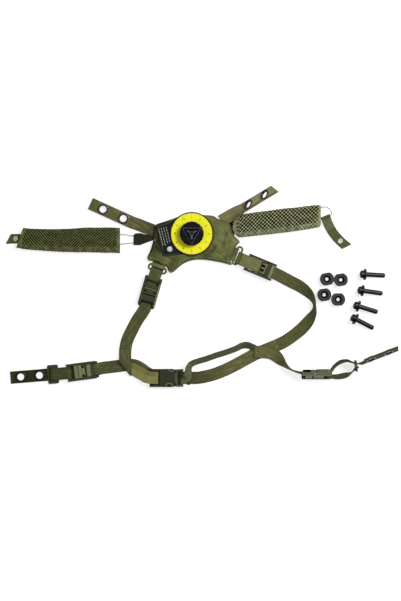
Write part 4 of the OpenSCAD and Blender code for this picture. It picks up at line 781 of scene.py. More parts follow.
# chin strap and the upper chin strap that crosses over it
plugX, plugY = clip["plugBar"]
chinFrames = stripFrames([[plugX, plugY, underBar, 0], [-22.6, plugY, 1, 0]] + [
    [x, plugY, clip["keepLift"], 0] for x in (-20, -14, -6)] + [
    [4, -116.8, 0, 0], [17, -113.4, 0, 0], [31.5, -107.6, 0, 0], [44.5, -101.2, 0, 0], [57.5, -94, 0, 0],
    [70.5, -87.2, 0, 0], [84, -81.6, 0, 0], [98.6, -75.6, 0, 0]])
finishStrap("chinStrap", "chin_strap", "chinWebbing", chinFrames,
            halfTurn(place(clip["plugBar"], 0, clip["barZ"]), clip["turnR"]), seed=9)
finishStrap("chinUpperStrap", "chin_upper_strap", "greyWebbing", stripFrames([
    [plugX + 0.25, plugY, overBar, 0], [-24, plugY, overBar, 5], [-20, -116.4, 6, 36],
    [-17.6, -111.4, 5, 56], [-16.4, -105, 3, 62], [-13, -100, 0.8, 64], [-6, -97, 0.1, 64], [5.5, -93.6, 0.1, 64],
    [18.5, -89, 0.1, 64], [31.5, -85, 0.1, 64], [44, -80.4, 0.1, 64], [51.5, -76.6, 0.1, 62], [58, -75.6, 0.2, 60],
    [63, -77, 0.3, 62], [67.5, -79.6, 0.5, 56]]))
print("chin straps made")

# front left end strap: flat under its glide, round the buckle's bar and back
endLeft = {"tip": [-248.5, -118.2], "glideAt": 55.6, "glideLow": web["t"] + 0.4, "glideT": 2, "clear": 0.15}
run = [frontLeft["at"][0] - endLeft["tip"][0], frontLeft["at"][1] - endLeft["tip"][1]]
endBar, endHeading = math.hypot(*run), math.degrees(math.atan2(run[1], run[0]))
over = endLeft["glideLow"] + endLeft["glideT"] + web["t"] / 2 + endLeft["clear"]
under = web["t"] / 2 + endLeft["clear"]
flatMid = strapLift + web["t"] / 2
lastFlat = grommets["front"][1] + grommets["flange"] + 0.4
loopMid = cam["loopIn"] + web["t"] / 2
g = endLeft["glideAt"]
profile = smooth([
    [0, flatMid], [30, flatMid], [lastFlat, flatMid], [lastFlat + 1.2, flatMid], [48.8, under + 0.1], [g - 5.4, under],
    [g - 3.3, (under + over) / 2 - 0.05], [g - 1.4, over - 0.15], [g + 0.6, over], [g + 4.5, over + 0.05],
    [g + 10, over + 0.6], [endBar - 4.4, cam["loopZ"] + loopMid - 0.1], [endBar - 1.6, cam["loopZ"] + loopMid]], 5)
profile += arc([endBar, cam["loopZ"]], loopMid, 90, -90) + [[endBar - 6, under + 0.05], [g + 5, under], [g - 0.6, under]]
frames = sideFrames(profile, place(endLeft["tip"], endHeading))
piece = finishStrap("frontLeftEndStrap", "front_left_end_strap", "deepWebbing", frames)
cutHoles(piece, [(ahead(endLeft["tip"], endHeading, d) + [flatMid], upward) for d in grommets["front"]])
barStitch(frames, [2.6])

# front right end strap stands on its edge; its loop round the buckle's bar lies in the plan
endRight = {"tip": [254.5, -80], "turn": -159, "roll": 112, "slope": 1.6, "glideEdge": 4.35}
endMid = edgeDrop(endRight["roll"]) + 0.3
e = endRight["glideEdge"]
stations = [ahead(endRight["tip"], endRight["turn"], d)
            + [endMid + d * math.sin(rad(endRight["slope"])) - edgeDrop(endRight["roll"]), endRight["roll"]]
            for d in (0, 15, 30, lastFlat - 0.2, lastFlat + 2)]
stations += [[205.6, -98.6, e - 1.2, 98], [199.5, -99.5, e, 91], [195.2, -98.3, e, 92], [191, -96.6, e, 97],
             [187, -95.8, e - 0.2, 102], [179.5, -97.4, 4, 107], [172.4, -102.4, 3.6, 106], [167.8, -108.4, 3.4, 105]]
barY = frontRight["at"][1] - cam["loopZ"] * math.sin(lean)
barZ = edgeLift + cam["loopZ"] * math.cos(lean)
for a in (90, 135, 180, 225, 270):
    roll = frontRight["roll"] + 30 * (270 - a) / 180
    x, y = ahead([frontRight["at"][0], 0], a, loopMid)
    stations.append([x, barY + y * math.sin(lean), barZ - y * math.cos(lean) - edgeDrop(roll), roll])
stations += [[176, -116.4, 4.8, 66], [186, -114.6, 4.6, 64], [192.4, -112, e, 80], [196.4, -108.4, e, 88],
             [198.3, -106.2, e, 90], [199.8, -105.5, e, 90], [201.4, -104.9, e, 90], [202.7, -103.2, e, 90]]
frames = stripFrames(stations)
piece = finishStrap("frontRightEndStrap", "front_right_end_strap", "darkWebbing", frames)
tiltedHoles(piece, endRight, endMid, grommets["front"])
barStitch(frames, [2.6])
print("front end straps made")

# cloth tabs that hold the wire rings to the pad
ringTab = {"w": 18, "t": 1, "radius": 2.0}
for side, ringAt in (("left", ring["left"]), ("right", ring["right"])):
    low, high = cam["loopZ"] - ringTab["radius"], cam["loopZ"] + ringTab["radius"]
    outline = (smooth([[-8, 0.75], [-5, 0.85], [-2.6, low + 0.05]], 4) + arc([0, cam["loopZ"]], ringTab["radius"], -90, 90)
               + [[-1.8, high], [-2.8, high]])
    matrix = place(ahead(ringAt[0], ringAt[1], -ring["half"]), ringAt[1])
    frames = sideFrames(outline, matrix, ringTab["w"], ringTab["t"])
    finishStrap(side + "RingTab", side + "_ring_tab", "pad_cloth", frames, slot="pad_cloth")

# tabs at the sleeves' outer ends: webbing round the lace and the stud's hole; the right one is doubled and box stitched
tab = {"w": 12.5, "t": 1.2, "eye": 1.1, "stud": 1.6}
for name, node, eyeAt, turn, height, route, stud in (
        ("leftTab", "left_tab", [-231.4, 62], 176, 4.3,
         [[-233, 62.1, 3.1, 0], [-236, 62.2, 2.62, 0], [-241.5, 62.3, 1.46, 0], [-246.5, 62.3, 0.4, 0],
          [-251.5, 62, 0.2, 0, 1, 0.59]],
         ([-241.5, 62.3, 2.06], (-0.206, 0, 0.979))),
        ("rightTab", "right_tab", [160.9, 90], -67, 4.4,
         [[161.6, 88.3, 3.2, 0], [163, 84.6, 2, 0], [166.5, 77, 0.4, 0], [172, 68.4, 0.3, 0], [180, 59.4, 0.3, 0],
          [188.6, 52, 0.3, 0, 1, 0.44]],
         ([180, 59.4, 0.9], upward))):
    frames = stripFrames(route, tab["w"], tab["t"], 6)
    eye = sideFrames(arc([0, 0], tab["eye"] + tab["t"] / 2, 20, 340, 26), place(eyeAt, turn, height), tab["w"], tab["t"])
    piece = finishStrap(name, node, "tab_webbing", frames, eye, slot="tab_webbing")
    cutHoles(piece, [stud], tab["stud"])
    if name == "rightTab":
        doubled = [[x, y, lift + tab["t"] - 0.05, 0] for x, y, lift, roll in route[:3]] + [[168.2, 74.2, 1.46, 0]]
        doubled = stripFrames(doubled, tab["w"] - 0.1, 0.6, 6)
        finishStrap("rightTabFold", None, "greyWebbing", doubled, slot="tab_webbing")
        boxStitch(doubled, 2.5, 12.5, 4.2)
    barStitch(frames, [bandLength(frames) - 1.6], 5)
print("tabs made")


# moulded details of the buckles: boxes in a buckle's own frame, from its bar, with softened edges;
# each box is its span along, across and up
def slabs(mesh, buckle, *boxes):
    for box in boxes:
        middle = Vector([(a + b) / 2 for a, b in box])
        size = [b - a for a, b in box]
        block = bmesh.new()
        bmesh.ops.create_cube(block, size=1, matrix=Matrix.Translation(middle) @ Matrix.Diagonal((*size, 1)))
        bmesh.ops.bevel(block, geom=list(block.edges), offset=min(0.25, min(size) / 3), segments=2, affect="EDGES")
        stand = Matrix.Diagonal((mm, mm, mm, 1)) @ place(buckle["at"], buckle["turn"], buckle.get("lift", 0))
        roll = Matrix.Rotation(rad(buckle.get("roll", 0)), 4, "X")
        bmesh.ops.transform(block, matrix=stand @ roll, verts=block.verts)
        data = bpy.data.meshes.new("block")
        block.to_mesh(data)
        block.free()
        mesh.from_mesh(data)
        bpy.data.meshes.remove(data)


# a half disc, or a half ring where inner isn't None; a negative second radius opens it downwards
def halfRing(mesh, middle, outer, inner, height):
    corners = [math.pi * k / 24 for k in range(25)]
    edge = [(middle[0] + outer[0] * math.cos(a), middle[1] - outer[1] * math.sin(a)) for a in corners]
    if inner:
        edge += [(middle[0] + inner[0] * math.cos(a), middle[1] - inner[1] * math.sin(a)) for a in reversed(corners)]
    skin(mesh, [newRing(mesh, [(x, y, z) for x, y in edge]) for z in height])


top, deck = cam["h"], cam["h"] - 0.4
# dark slabs paint the shade in slots, notches and cut-outs; pale slabs and rims are painted highlights on ribs, bars,
# rails and edges
dark, highlightSlabs, recessShade = bmesh.new(), bmesh.new(), bmesh.new()
# thumb cut-outs of the chin buckle, at the lower and the upper edge of its socket, as flat dark patches of painted
# shade with pale rims of painted highlight
for x, across, deep, out in ((-42.3, 4.3, 4.9, -1), (-39.4, 3.5, 2.7, 1)):
    middle = (x, plugY + out * clip["half"])
    outer, inner = [(across + wide, out * (deep + wide)) for wide in (0.5, -0.5)]
    halfRing(recessShade, middle, (across, out * deep), None, (clip["top"] - 0.1, clip["top"] + 0.06))
    halfRing(highlightSlabs, middle, outer, inner, (clip["top"] - 0.1, clip["top"] + 0.12))
slabs(dark, rightLeg, ((17.4, 22.6), (-7.2, 7.2), (top - 0.1, top + 0.12)))
slabs(highlightSlabs, rightLeg, *[((18, 23.2), (y - 0.85, y + 0.85), (top, top + 0.5)) for y in (-5.6, 0, 5.6)],
      ((22.4, 24), (-7, 7), (top, top + 0.5)), ((30.2, 33.6), (-8.2, 8.2), (top - 1.2, top + 0.7)))
slabs(highlightSlabs, frontLeft, ((23.6, 28.4), (-7.6, 7.6), (deck - 0.1, deck + 0.3)))
slabs(highlightSlabs, leftLeg, ((5, 35.5), (9.2, 11.2), (top - 0.1, top + 0.15)))
slabs(dark, leftLeg, ((29.6, 31), (-7.8, 7.8), (deck - 0.1, deck + 0.1)))
# grip ribs along the upper rail of the buckle that stands on its edge: the pale ribs are painted highlights, the dark
# strips painted shade
standing = {**frontRight, "lift": edgeLift}
rail = cam["out"]
for along in (1.5, 4.7, 7.9, 11.1, 14.3):
    slabs(highlightSlabs, standing, ((along, along + 2.1), (rail - 0.1, rail + 0.5), (0.5, top - 0.3)))
    slabs(dark, standing, ((along + 2.3, along + 3), (rail - 0.1, rail + 0.08), (0.7, top - 0.6)))
slabs(dark, standing, ((25, 34.6), (rail - 0.1, rail + 0.1), (1.6, top - 1.4)))
finishPiece("thumbRecesses", recessShade, "guide_black", sharp=40)
finishPiece("buckleSlots", dark, "slotBlack", sharp=40)
finishPiece("buckleBars", highlightSlabs, "paleLever", sharp=40)
# dark slabs on the levers paint the shade in their notches and cross slot
for name, buckle, body, start, end, inner in (
        ("leverNotches", frontLeft, "front_left_cam_lever", 17.2, 20.6, 4.2),
        ("legLeverNotches", leftLeg, "left_leg_cam_lever", 16.4, 18.6, 4.8)):
    notches = bmesh.new()
    slabs(notches, buckle, *[((start, end), across, (deck - 0.1, deck + 0.1)) for across in ((-7.9, -inner), (inner, 7.9))],
          ((11.9, 12.7), (-7.8, 7.8), (deck - 0.1, deck + 0.1)))
    finishPiece(name, notches, "slotBlack", body=body, sharp=40)
# a pale ledge on the left leg lever, painted highlight
ledge = bmesh.new()
slabs(ledge, leftLeg, ((12.9, 13.9), (-7.6, 7.6), (deck - 0.1, deck + 0.2)))
finishPiece("legLeverLedge", ledge, "paleLever", body="left_leg_cam_lever", sharp=40)

# thin dark sheets of painted shadow lie under the buckles, the glide, the left ring and the gaps by the lace guides, so
# no white ground shows through their gaps
shadowSheets = bmesh.new()
for at, turn, along, across in (
        (leftLeg["at"], leftLeg["turn"], (-2, 38), (-10.6, 10.6)),
        (frontLeft["at"], frontLeft["turn"], (-2, 38), (-10.6, 10.6)),
        (endLeft["tip"], endHeading, (g - 6, g + 6), (-10.8, 10.8)), ([-67, plugY], 0, (0.6, 42.4), (-10.8, 10.8)),
        (*ring["left"], (-4.5, 5), (-8, 8)), ([-82, 69], -12, (0, 20), (-3, 1)), ([34, 64], 0, (0, 8.4), (0, 22))):
    slabs(shadowSheets, {"at": at, "turn": turn}, (along, across, (-0.3, -0.08)))
finishPiece("buckleUndersides", shadowSheets, "slotBlack", sharp=40)

# dark thread inserts in the nuts' recesses, whose near-black colour also paints the shade inside the bores
insertShape = ((4.7, 4.66), (4.7, 5.3), (2.5, 5.1), (2.2, 4.4), (2.2, 0.6), (2.7, 0.6), (2.7, 4.66))
inserts = bmesh.new()
for x, y in ((162.5, 10), (180.5, 9), (159, -10.5), (177, -16.5)):
    skin(inserts, [newRing(inserts, [(x + a, y + b, z) for a, b in circle(40, r)]) for r, z in insertShape], closed=True)
finishPiece("nutInserts", inserts, "slotBlack", sharp=30)
print("buckle and nut details made")


# laces: round braided cord along the same routes as the CAD model's
def laceTube(name, node, route, radius=0.6, sides=10):
    path = [Vector(p) for p in smooth(route, 8)]
    mesh = bmesh.new()
    mesh.loops.layers.uv.new("webUV")
    rings, runs = [], [0.0]
    for i, p in enumerate(path):
        run = (path[min(i + 1, len(path) - 1)] - path[max(i - 1, 0)]).normalized()
        side = upward.cross(run).normalized()
        up = run.cross(side)
        rings.append(newRing(mesh, [p + side * x + up * y for x, y in circle(sides, radius)]))
        if i:
            runs.append(runs[-1] + (p - path[i - 1]).length)
    skin(mesh, rings, False, [k * 2 * math.pi * radius / sides for k in range(sides + 1)], runs)
    finishPiece(name, mesh, "lace", [node])


def levelRun(a, b, n, lift=1.6):
    return [[a[0] + (b[0] - a[0]) * k / n, a[1] + (b[1] - a[1]) * k / n, lift] for k in range(n + 1)]


port = {"z": 6.56, "from": 8.4}
portLeft, portRight = [ahead(dial, turn, port["from"]) + [port["z"]] for turn in (182, 8)]
laceTube("leftLace", "left_lace", [portLeft, [-34, 66.4, port["z"]], [-48, 63.8, 4], [-56, 62.4, 2.4]]
         + levelRun([-59.5, 62.1], [-90.5, 66.1], 3)
         + [[-104, 68, 3.6], [-130, 69, 4.6], [-170, 69.8, 4.6], [-205, 70.2, 4.6], [-222, 70.4, 4.4],
            [-228.2, 70.6, 4.3], [-230.6, 69.4, 4.3], [-231.05, 67, 4.3], [-231.4, 62, 4.3], [-231.75, 57, 4.3],
            [-231.9, 54.6, 4.3], [-229.6, 53, 4.3], [-222, 52.8, 4.4], [-200, 52.8, 4.6], [-160, 52.6, 4.6],
            [-125, 53, 4.6], [-104, 55.4, 3.6]]
         + levelRun([-90.5, 56.8], [-77, 58.4], 2))
laceTube("rightLace", "right_lace", [portRight, [8, 71.6, port["z"]], [22, 73.6, 4.2], [29, 74.6, 2.4]]
         + levelRun([35, 75.4], [41.4, 76.3], 2)
         + [[44, 77.4, 2.8], [50, 81.4, 3.8], [66, 88, 4.6], [90, 94, 4.6], [120, 97.6, 4.6], [146, 100.8, 4.4],
            [154, 102.6, 4.4], [160, 103.6, 4.4], [165, 101.4, 4.4], [168, 97.4, 4.4], [168.6, 94.4, 4.4],
            [166.8, 92.5, 4.4], [160.9, 90, 4.4], [155, 87.5, 4.4], [149, 85.2, 4.5], [136, 82.6, 4.6],
            [110, 79.4, 4.6], [80, 76.2, 4.6], [58, 72.8, 4.2], [47.6, 70.6, 3.4], [44.4, 70.1, 2.8]]
         + levelRun([41.8, 69.9], [38.9, 70.2], 2))
print("laces made")

# sleeves: a tube of openwork knit whose holes are pressed into the mesh, with hems at both ends
sleeve = {"steps": 30, "sides": 144, "coreSides": 24, "wall": 1.4, "squareness": 2.6, "hem": 3.4, "scallop": 4.9,
          "leanFrom": 0.24, "leanOver": 0.16, "holeEdge": 0.22, "holeSoft": 0.52, "bareEnds": 3.2, "fadeIn": 2.2,
          "fold": -0.5, "foldOver": 0.12, "ground": -0.5, "groundShare": 0.35}


def squircle(sides):
    return [[math.copysign(abs(c) ** (2 / sleeve["squareness"]), c) for c in (math.cos(w), math.sin(w))]
            for w in [2 * math.pi * k / sides for k in range(sides)]]


def sleeveTube(name, node, stations, look, leans, opening, band, cell):
    # stations are the back and front edge in plan, height and lift; leans tells which way the holes slant
    rows = smooth([list(s) + [0] * (6 - len(s)) for s in stations], sleeve["steps"])
    sides, turn = sleeve["sides"], 2 * math.pi / cell
    travelled = [0.0]
    for a, b in zip(rows, rows[1:]):
        travelled.append(travelled[-1] + math.hypot((b[0] + b[2] - a[0] - a[2]) / 2, (b[1] + b[3] - a[1] - a[3]) / 2))
    total = travelled[-1]
    mesh = bmesh.new()
    knit, hem = mesh.loops.layers.uv.new("knitUV"), mesh.loops.layers.uv.new("hemUV")
    outer, inner, shells, uvs = [], [], [], []
    for s, along in zip(rows, travelled):
        back, front = Vector((s[0], s[1], 0)), Vector((s[2], s[3], 0))
        across, h = (back - front).normalized(), s[4] / 2
        centre, half = (back + front) / 2 + upward * (s[5] + h), (back - front).length / 2
        ring = [centre + across * half * ex + upward * h * ez for ex, ez in squircle(sides)]
        outer.append(ring)
        inner.append([centre + across * (half - sleeve["wall"]) * ex + upward * (h - sleeve["wall"]) * ez
                      for ex, ez in squircle(sleeve["coreSides"])])
        ends = min(along, total - along)
        lean = leans[0] + (leans[1] - leans[0]) * unit((along / total - sleeve["leanFrom"]) / sleeve["leanOver"])
        shell, row, around = [], [], 0.0
        for k, (ex, ez) in enumerate(squircle(sides)):
            p = ring[k]
            around += (p - ring[k - 1]).length if k else 0.0
            lattice = lean * math.cos((around + along) * turn) + (1 - lean) * math.cos((around - along) * turn)
            depth = unit((lattice - opening + sleeve["holeEdge"]) / sleeve["holeSoft"])
            mask = unit((ends - sleeve["bareEnds"]) / sleeve["fadeIn"])
            if ex < sleeve["fold"]:  # the folded band along the front edge is coarser
                mask *= 1 - band * min(1.0, (sleeve["fold"] - ex) / sleeve["foldOver"])
            nearGround = sleeve["groundShare"] if ez < sleeve["ground"] else 1.0
            inward = centre - p
            push = depth * depth * (3 - 2 * depth) * mask * nearGround
            wave = 0.45 * (0.5 + 0.5 * math.cos(along * 2 * math.pi / sleeve["scallop"]))
            scallop = wave * max(0.0, (-ex - 0.75) / 0.25) * (1 if ends > 3 else 0)
            lump = max(-0.1, 0.35 * noise.noise(p / 14) + 0.18 * noise.noise(p / 4)) * nearGround
            hemRoll = 0.35 * math.exp(-((ends - sleeve["hem"]) / 0.7) ** 2)
            flat = Vector((inward.x * 0.35, inward.y * 0.35, inward.z)).normalized()
            q = p + flat * (push + hemRoll + lump) + inward.normalized() * scallop
            q.z = max(q.z, 0.02)
            shell.append(mesh.verts.new(q * mm))
            row.append((around, along, mask, lean))
        shells.append(shell)
        uvs.append(row)
    for i in range(len(shells) - 1):
        for k in range(sides):
            n = (k + 1) % sides
            quad = mesh.faces.new((shells[i][k], shells[i][n], shells[i + 1][n], shells[i + 1][k]))
            for loop, (a, b) in zip(quad.loops, ((i, k), (i, n), (i + 1, n), (i + 1, k))):
                around, along, mask, lean = uvs[a][b]
                if n == 0 and b == 0:
                    around = uvs[a][-1][0] + (outer[a][0] - outer[a][-1]).length
                loop[knit].uv = (around, along)
                loop[hem].uv = (mask, lean)
    cores = [newRing(mesh, ring) for ring in inner]
    for a, b in zip(cores, cores[1:]):
        for k in range(len(a)):
            n = (k + 1) % len(a)
            mesh.faces.new((a[k], b[k], b[n], a[n]))
    for shell, core in ((shells[0], cores[0]), (shells[-1], cores[-1])):
        bmesh.ops.bridge_loops(mesh, edges=[mesh.edges.get(pair) for r in (shell, core) for pair in zip(r, r[1:] + r[:1])])
    finishPiece(name, mesh, look, [node], node)
    thread = bmesh.new()
    for seam in (sleeve["hem"], total - sleeve["hem"]):
        spot = min(range(len(rows)), key=lambda i: abs(travelled[i] - seam))
        above = [p for p, (ex, ez) in zip(outer[spot], squircle(sides)) if ez > -0.4]
        above.sort(key=lambda p: (p - Vector((rows[spot][2], rows[spot][3], 0))).length)
        sewLine(thread, [p + upward * 0.1 for p in above], pitch=2.6, length=1.9)
    finishPiece(name + "Thread", thread, "thread", body=node)


sleeveTube("leftSleeve", "left_sleeve", [
    [-231.5, 76.5, -240.6, 50.4, 8.8], [-222, 75.4, -229, 48.4, 9.2], [-205, 74.8, -206, 46.4, 10],
    [-180, 75, -180, 44.8, 10], [-150, 76.8, -150, 44.2, 10], [-125, 77, -125, 43.8, 9.6],
    [-106.2, 76.6, -106.2, 43.4, 8.8]], "sleeve_mesh", (0.24, 0.7), 0.14, 0.75, 3.9)
sleeveTube("rightSleeve", "right_sleeve", [
    [40.6, 83.5, 40.1, 72.5, 4.2, 3.4], [44.2, 88.5, 43.2, 67.5, 5.4, 3.3], [47.6, 92, 46.4, 65.2, 7.4, 1.2],
    [51.8, 94, 50.8, 63.8, 8.8], [75, 97.4, 73, 66.2, 10], [105, 101.2, 103, 69.4, 10], [130, 104, 127.4, 72.8, 10],
    [150, 106.2, 148, 76.2, 9.2], [154.4, 105.4, 154.2, 78.4, 8.8]], "rightKnit", (0.6, 0.5), 0.08, 0.6, 4.9)
print("sleeves made")

# nape pad: the CAD solid remeshed and inflated as cloth, then creased and sewn; channels are filled before that
padLook = {"voxel": 1.7, "pressure": 4.0, "frames": 20, "cap": 0.9, "edgeZ": 4.3, "topFrom": 3.6, "topOver": 1.2,
           "seam": 3.2, "seamDepth": 0.55, "seamHalf": 0.8, "dialFrom": 17, "dialOver": 6, "dialEdge": 29, "seat": 9.12,
           "channels": [(-61.4, -50, 60.2, 65.4, 0.8, 3.7), (27, 37.6, 72.6, 78.4, 0.8, 3.7)]}
outline = smooth([
    [-60.5, 78], [-57.5, 81], [-50, 83.5], [-42.5, 86], [-35, 88.5], [-25, 92], [-13, 93.5], [3, 92.5], [14.5, 91.5],
    [21, 87.5], [31.5, 84], [36, 80], [38, 75], [39.5, 69], [44.4, 62.8], [49, 58.4], [45.6, 54.6], [42.8, 49.5],
    [40.2, 43.5], [37.6, 37], [36.9, 33.4], [38.3, 28.6], [31.3, 30.4], [23.5, 32.2], [10.5, 34.5], [1.5, 35.5],
    [-7.5, 35.5], [-15.5, 34], [-22, 31.4], [-28.5, 27], [-33.5, 22.6], [-37.6, 19.2], [-41.2, 18.8], [-43.2, 21.4],
    [-45, 25.4], [-49.4, 28.6], [-58, 32.6], [-64.5, 33.8], [-68.2, 34.2], [-70.2, 36.6], [-69.6, 40], [-67, 45],
    [-64.8, 51.5], [-62.5, 60], [-61.5, 70], [-60.5, 78]], 3)[:-1]
# folds pressed into the cloth: points in plan, depth, half width
folds = [
    ([[18, 54], [10, 46], [-2, 40.5]], 1.5, 1.9), ([[22, 52], [14, 43], [4, 38.5]], -0.7, 1.8),
    ([[29, 60], [26, 54], [23, 49]], 1.1, 1.3), ([[33, 58], [31, 52], [27, 46]], -0.6, 1.8),
    ([[36, 72], [30, 66], [27, 60]], 0.7, 1.5), ([[38, 50], [32, 45], [26, 42]], 0.8, 1.5),
    ([[30, 76], [33, 70], [34, 64]], -0.5, 2.2), ([[20, 44], [26, 40], [30, 35]], 0.7, 1.5),
    ([[-6, 41], [-16, 38.5], [-26, 38]], 0.8, 1.7), ([[-30, 37], [-40, 33], [-50, 33]], 0.8, 1.8),
    ([[-52, 46], [-47, 39], [-38, 34]], 0.9, 1.6), ([[-62, 55], [-57, 47], [-52, 42]], 0.7, 1.6),
    ([[-58, 40], [-48, 36], [-36, 30]], -0.5, 2.2), ([[-61, 68], [-58, 58], [-55, 50]], 0.5, 1.6),
    ([[-24, 34], [-16, 36.5], [-4, 38]], -0.5, 1.6), ([[24, 82], [30, 79], [34, 74]], 0.7, 1.4)]


def offLine(p, a, b):
    run = (b[0] - a[0], b[1] - a[1])
    t = unit(((p[0] - a[0]) * run[0] + (p[1] - a[1]) * run[1]) / (run[0] ** 2 + run[1] ** 2))
    return math.hypot(p[0] - a[0] - t * run[0], p[1] - a[1] - t * run[1]), t


def inflate(source, name, settings):
    data = source.data.copy()
    filled = bmesh.new()
    filled.from_mesh(data)
    for x0, x1, y0, y1, z0, z1 in settings["channels"]:
        middle, size = Vector((x0 + x1, y0 + y1, z0 + z1)) / 2 * mm, Vector((x1 - x0, y1 - y0, z1 - z0)) * mm
        bmesh.ops.create_cube(filled, size=1, matrix=Matrix.Translation(middle) @ Matrix.Diagonal((*size, 1)))
    filled.to_mesh(data)
    filled.free()
    body = addObject(name, data)
    remesh = body.modifiers.new("remesh", "REMESH")
    remesh.mode = "VOXEL"
    remesh.voxel_size = settings["voxel"] * mm
    applyModifiers(body)
    before = [v.co.copy() for v in body.data.vertices]
    cloth = body.modifiers.new("cloth", "CLOTH")
    cloth.settings.quality = 6
    cloth.settings.mass = 0.02
    cloth.settings.use_pressure = True
    cloth.settings.uniform_pressure_force = settings["pressure"]
    cloth.settings.effector_weights.gravity = 0
    cloth.point_cache.frame_end = settings["frames"]
    for step in range(1, settings["frames"] + 1):
        scene.frame_set(step)
    applyModifiers(body)
    scene.frame_set(1)
    for vert, old in zip(body.data.vertices, before):
        moved = vert.co - old
        if moved.length > settings["cap"] * mm:
            vert.co = old + moved.normalized() * settings["cap"] * mm
    split = body.modifiers.new("smooth", "SUBSURF")
    split.levels = split.render_levels = 1
    applyModifiers(body)
    return body


def creases(p):
    # how far the folds press the cloth down at a point
    pressed = 0.0
    for points, depth, width in smoothFolds:
        near, at = 1e9, 0
        for i in range(len(points) - 1):
            d, t = offLine(p, points[i], points[i + 1])
            if d < near:
                near, at = d, (i + t) / (len(points) - 1)
        if near < 3.5 * width:
            pressed += 2.5 * depth * math.exp(-(near / width) ** 2) * math.sin(math.pi * unit(0.08 + 0.84 * at))
    return pressed


pad = inflate(cadNodes["nape_pad"], "napePad", padLook)
smoothFolds = [(smooth(points, 5), depth, width) for points, depth, width in folds]
for vert in pad.data.vertices:
    p = vert.co / mm
    away = fromDial(p.x, p.y)
    edge = min(offLine(p, outline[i - 1], outline[i])[0] for i in range(len(outline)))
    lumps = 0.35 * noise.noise(Vector((p.x / 9, p.y / 9, 1))) + 0.15 * noise.noise(Vector((p.x / 3.2, p.y / 3.2, 4)))
    seam = padLook["seamDepth"] * math.exp(-((edge - padLook["seam"]) / padLook["seamHalf"]) ** 2)
    share = unit((p.z - padLook["topFrom"]) / padLook["topOver"]) * unit((away - padLook["dialFrom"]) / padLook["dialOver"])
    z = p.z + (lumps - creases(p) - seam) * share
    if away < padLook["dialEdge"]:
        z = min(z, padLook["seat"])
    vert.co.z = max(z, 0.02) * mm
pad.data.materials.clear()
pad.data.materials.append(materials["pad_cloth"])
pad.data.shade_smooth()
addPiece(pad, ["nape_pad"])
print("nape pad made:", len(pad.data.vertices), "points")


# gives a look down on a piece: the height in millimetres where a ray meets it, or None
def seenFromAbove(piece):
    surface = BVHTree.FromPolygons([v.co.copy() for v in piece.data.vertices],
                                   [tuple(f.vertices) for f in piece.data.polygons])

    def height(x, y):
        hit = surface.ray_cast(Vector((x, y, 60)) * mm, Vector((0, 0, -1)))[0]
        return hit.z / mm if hit is not None else None
    return height


overPad = seenFromAbove(pad)


def padTop(x, y, missed=4.4):
    height = overPad(x, y)
    return missed if height is None else height


# a narrow binding rolls round the pad's edge, with seam stitches inside it
binding = bmesh.new()
rings, seamPoints = [], []
for i, here in enumerate(outline):
    before, after = outline[i - 1], outline[(i + 1) % len(outline)]
    out = Vector((after[1] - before[1], before[0] - after[0], 0)).normalized()
    here = Vector((*here, 0))
    if (here - Vector((*dial, 0))).dot(out) < 0:
        out = -out
    middle = here + upward * padLook["edgeZ"] - out * 0.35
    rings.append(newRing(binding, [middle + out * 0.95 * x + upward * 1.35 * y for x, y in circle(10)]))
    seamPoints.append(here - out * padLook["seam"])
skin(binding, rings, closed=True)
finishPiece("padBinding", binding, "pad_cloth")
sewShown(harnessThread, [None if fromDial(p.x, p.y) < padLook["dialEdge"] else Vector((p.x, p.y, padTop(p.x, p.y) + 0.08))
                         for p in seamPoints + seamPoints[:1]])
print("pad edge sewn")

# label: thin black cloth laid on the pad, bare but for a stitched border and plain stitched rows
label = {"corners": [[-59, 78.6], [-36, 86], [-24.4, 42], [-50.4, 39.4]], "t": 0.45, "n": 40, "gap": 0.12,
         "round": 28.5, "clear": 29.4}


def onLabel(u, v):
    a, b, c, d = label["corners"]
    return [(a[i] * (1 - u) + b[i] * u) * (1 - v) + (d[i] * (1 - u) + c[i] * u) * v for i in (0, 1)]


mesh = bmesh.new()
n = label["n"]
row = range(n + 1)
heights = [[padTop(*onLabel(i / n, j / n)) for j in row] for i in row]
for _ in range(3):
    heights = [[max(heights[i][j] - 0.1, sum(heights[p][q] for p, q in
                ((max(i - 1, 0), j), (min(i + 1, n), j), (i, max(j - 1, 0)), (i, min(j + 1, n)))) / 4)
                for j in row] for i in row]
below, above = [[[mesh.verts.new(Vector((*onLabel(i / n, j / n), heights[i][j] + lift)) * mm) for j in row] for i in row]
                for lift in (label["gap"], label["gap"] + label["t"])]
for grid, order in ((below, -1), (above, 1)):
    for i in range(n):
        for j in range(n):
            mesh.faces.new((grid[i][j], grid[i][j + 1], grid[i + 1][j + 1], grid[i + 1][j])[::order])
rim = ([(0, j) for j in range(n)] + [(i, n) for i in range(n)]
       + [(n, j) for j in range(n, 0, -1)] + [(i, 0) for i in range(n, 0, -1)])
for (i, j), (p, q) in zip(rim, rim[1:] + rim[:1]):
    mesh.faces.new((below[i][j], below[p][q], above[p][q], above[i][j]))
labelPiece = finishPiece("labelPatch", mesh, "label", ["label_patch"])
cutHoles(labelPiece, [((*dial, 10), upward)], label["round"], 60, 96, False)
overLabel = seenFromAbove(labelPiece)


def labelTop(u, v):
    x, y = onLabel(u, v)
    height = overLabel(x, y)
    return Vector((x, y, height + 0.03)) if height is not None and fromDial(x, y) >= label["clear"] else None


def sewLabel(target, path, **sizes):
    sewShown(target, [labelTop(u0 + (u1 - u0) * k / 12, v0 + (v1 - v0) * k / 12)
                      for (u0, v0), (u1, v1) in zip(path, path[1:]) for k in range(13)], 0.05, **sizes)


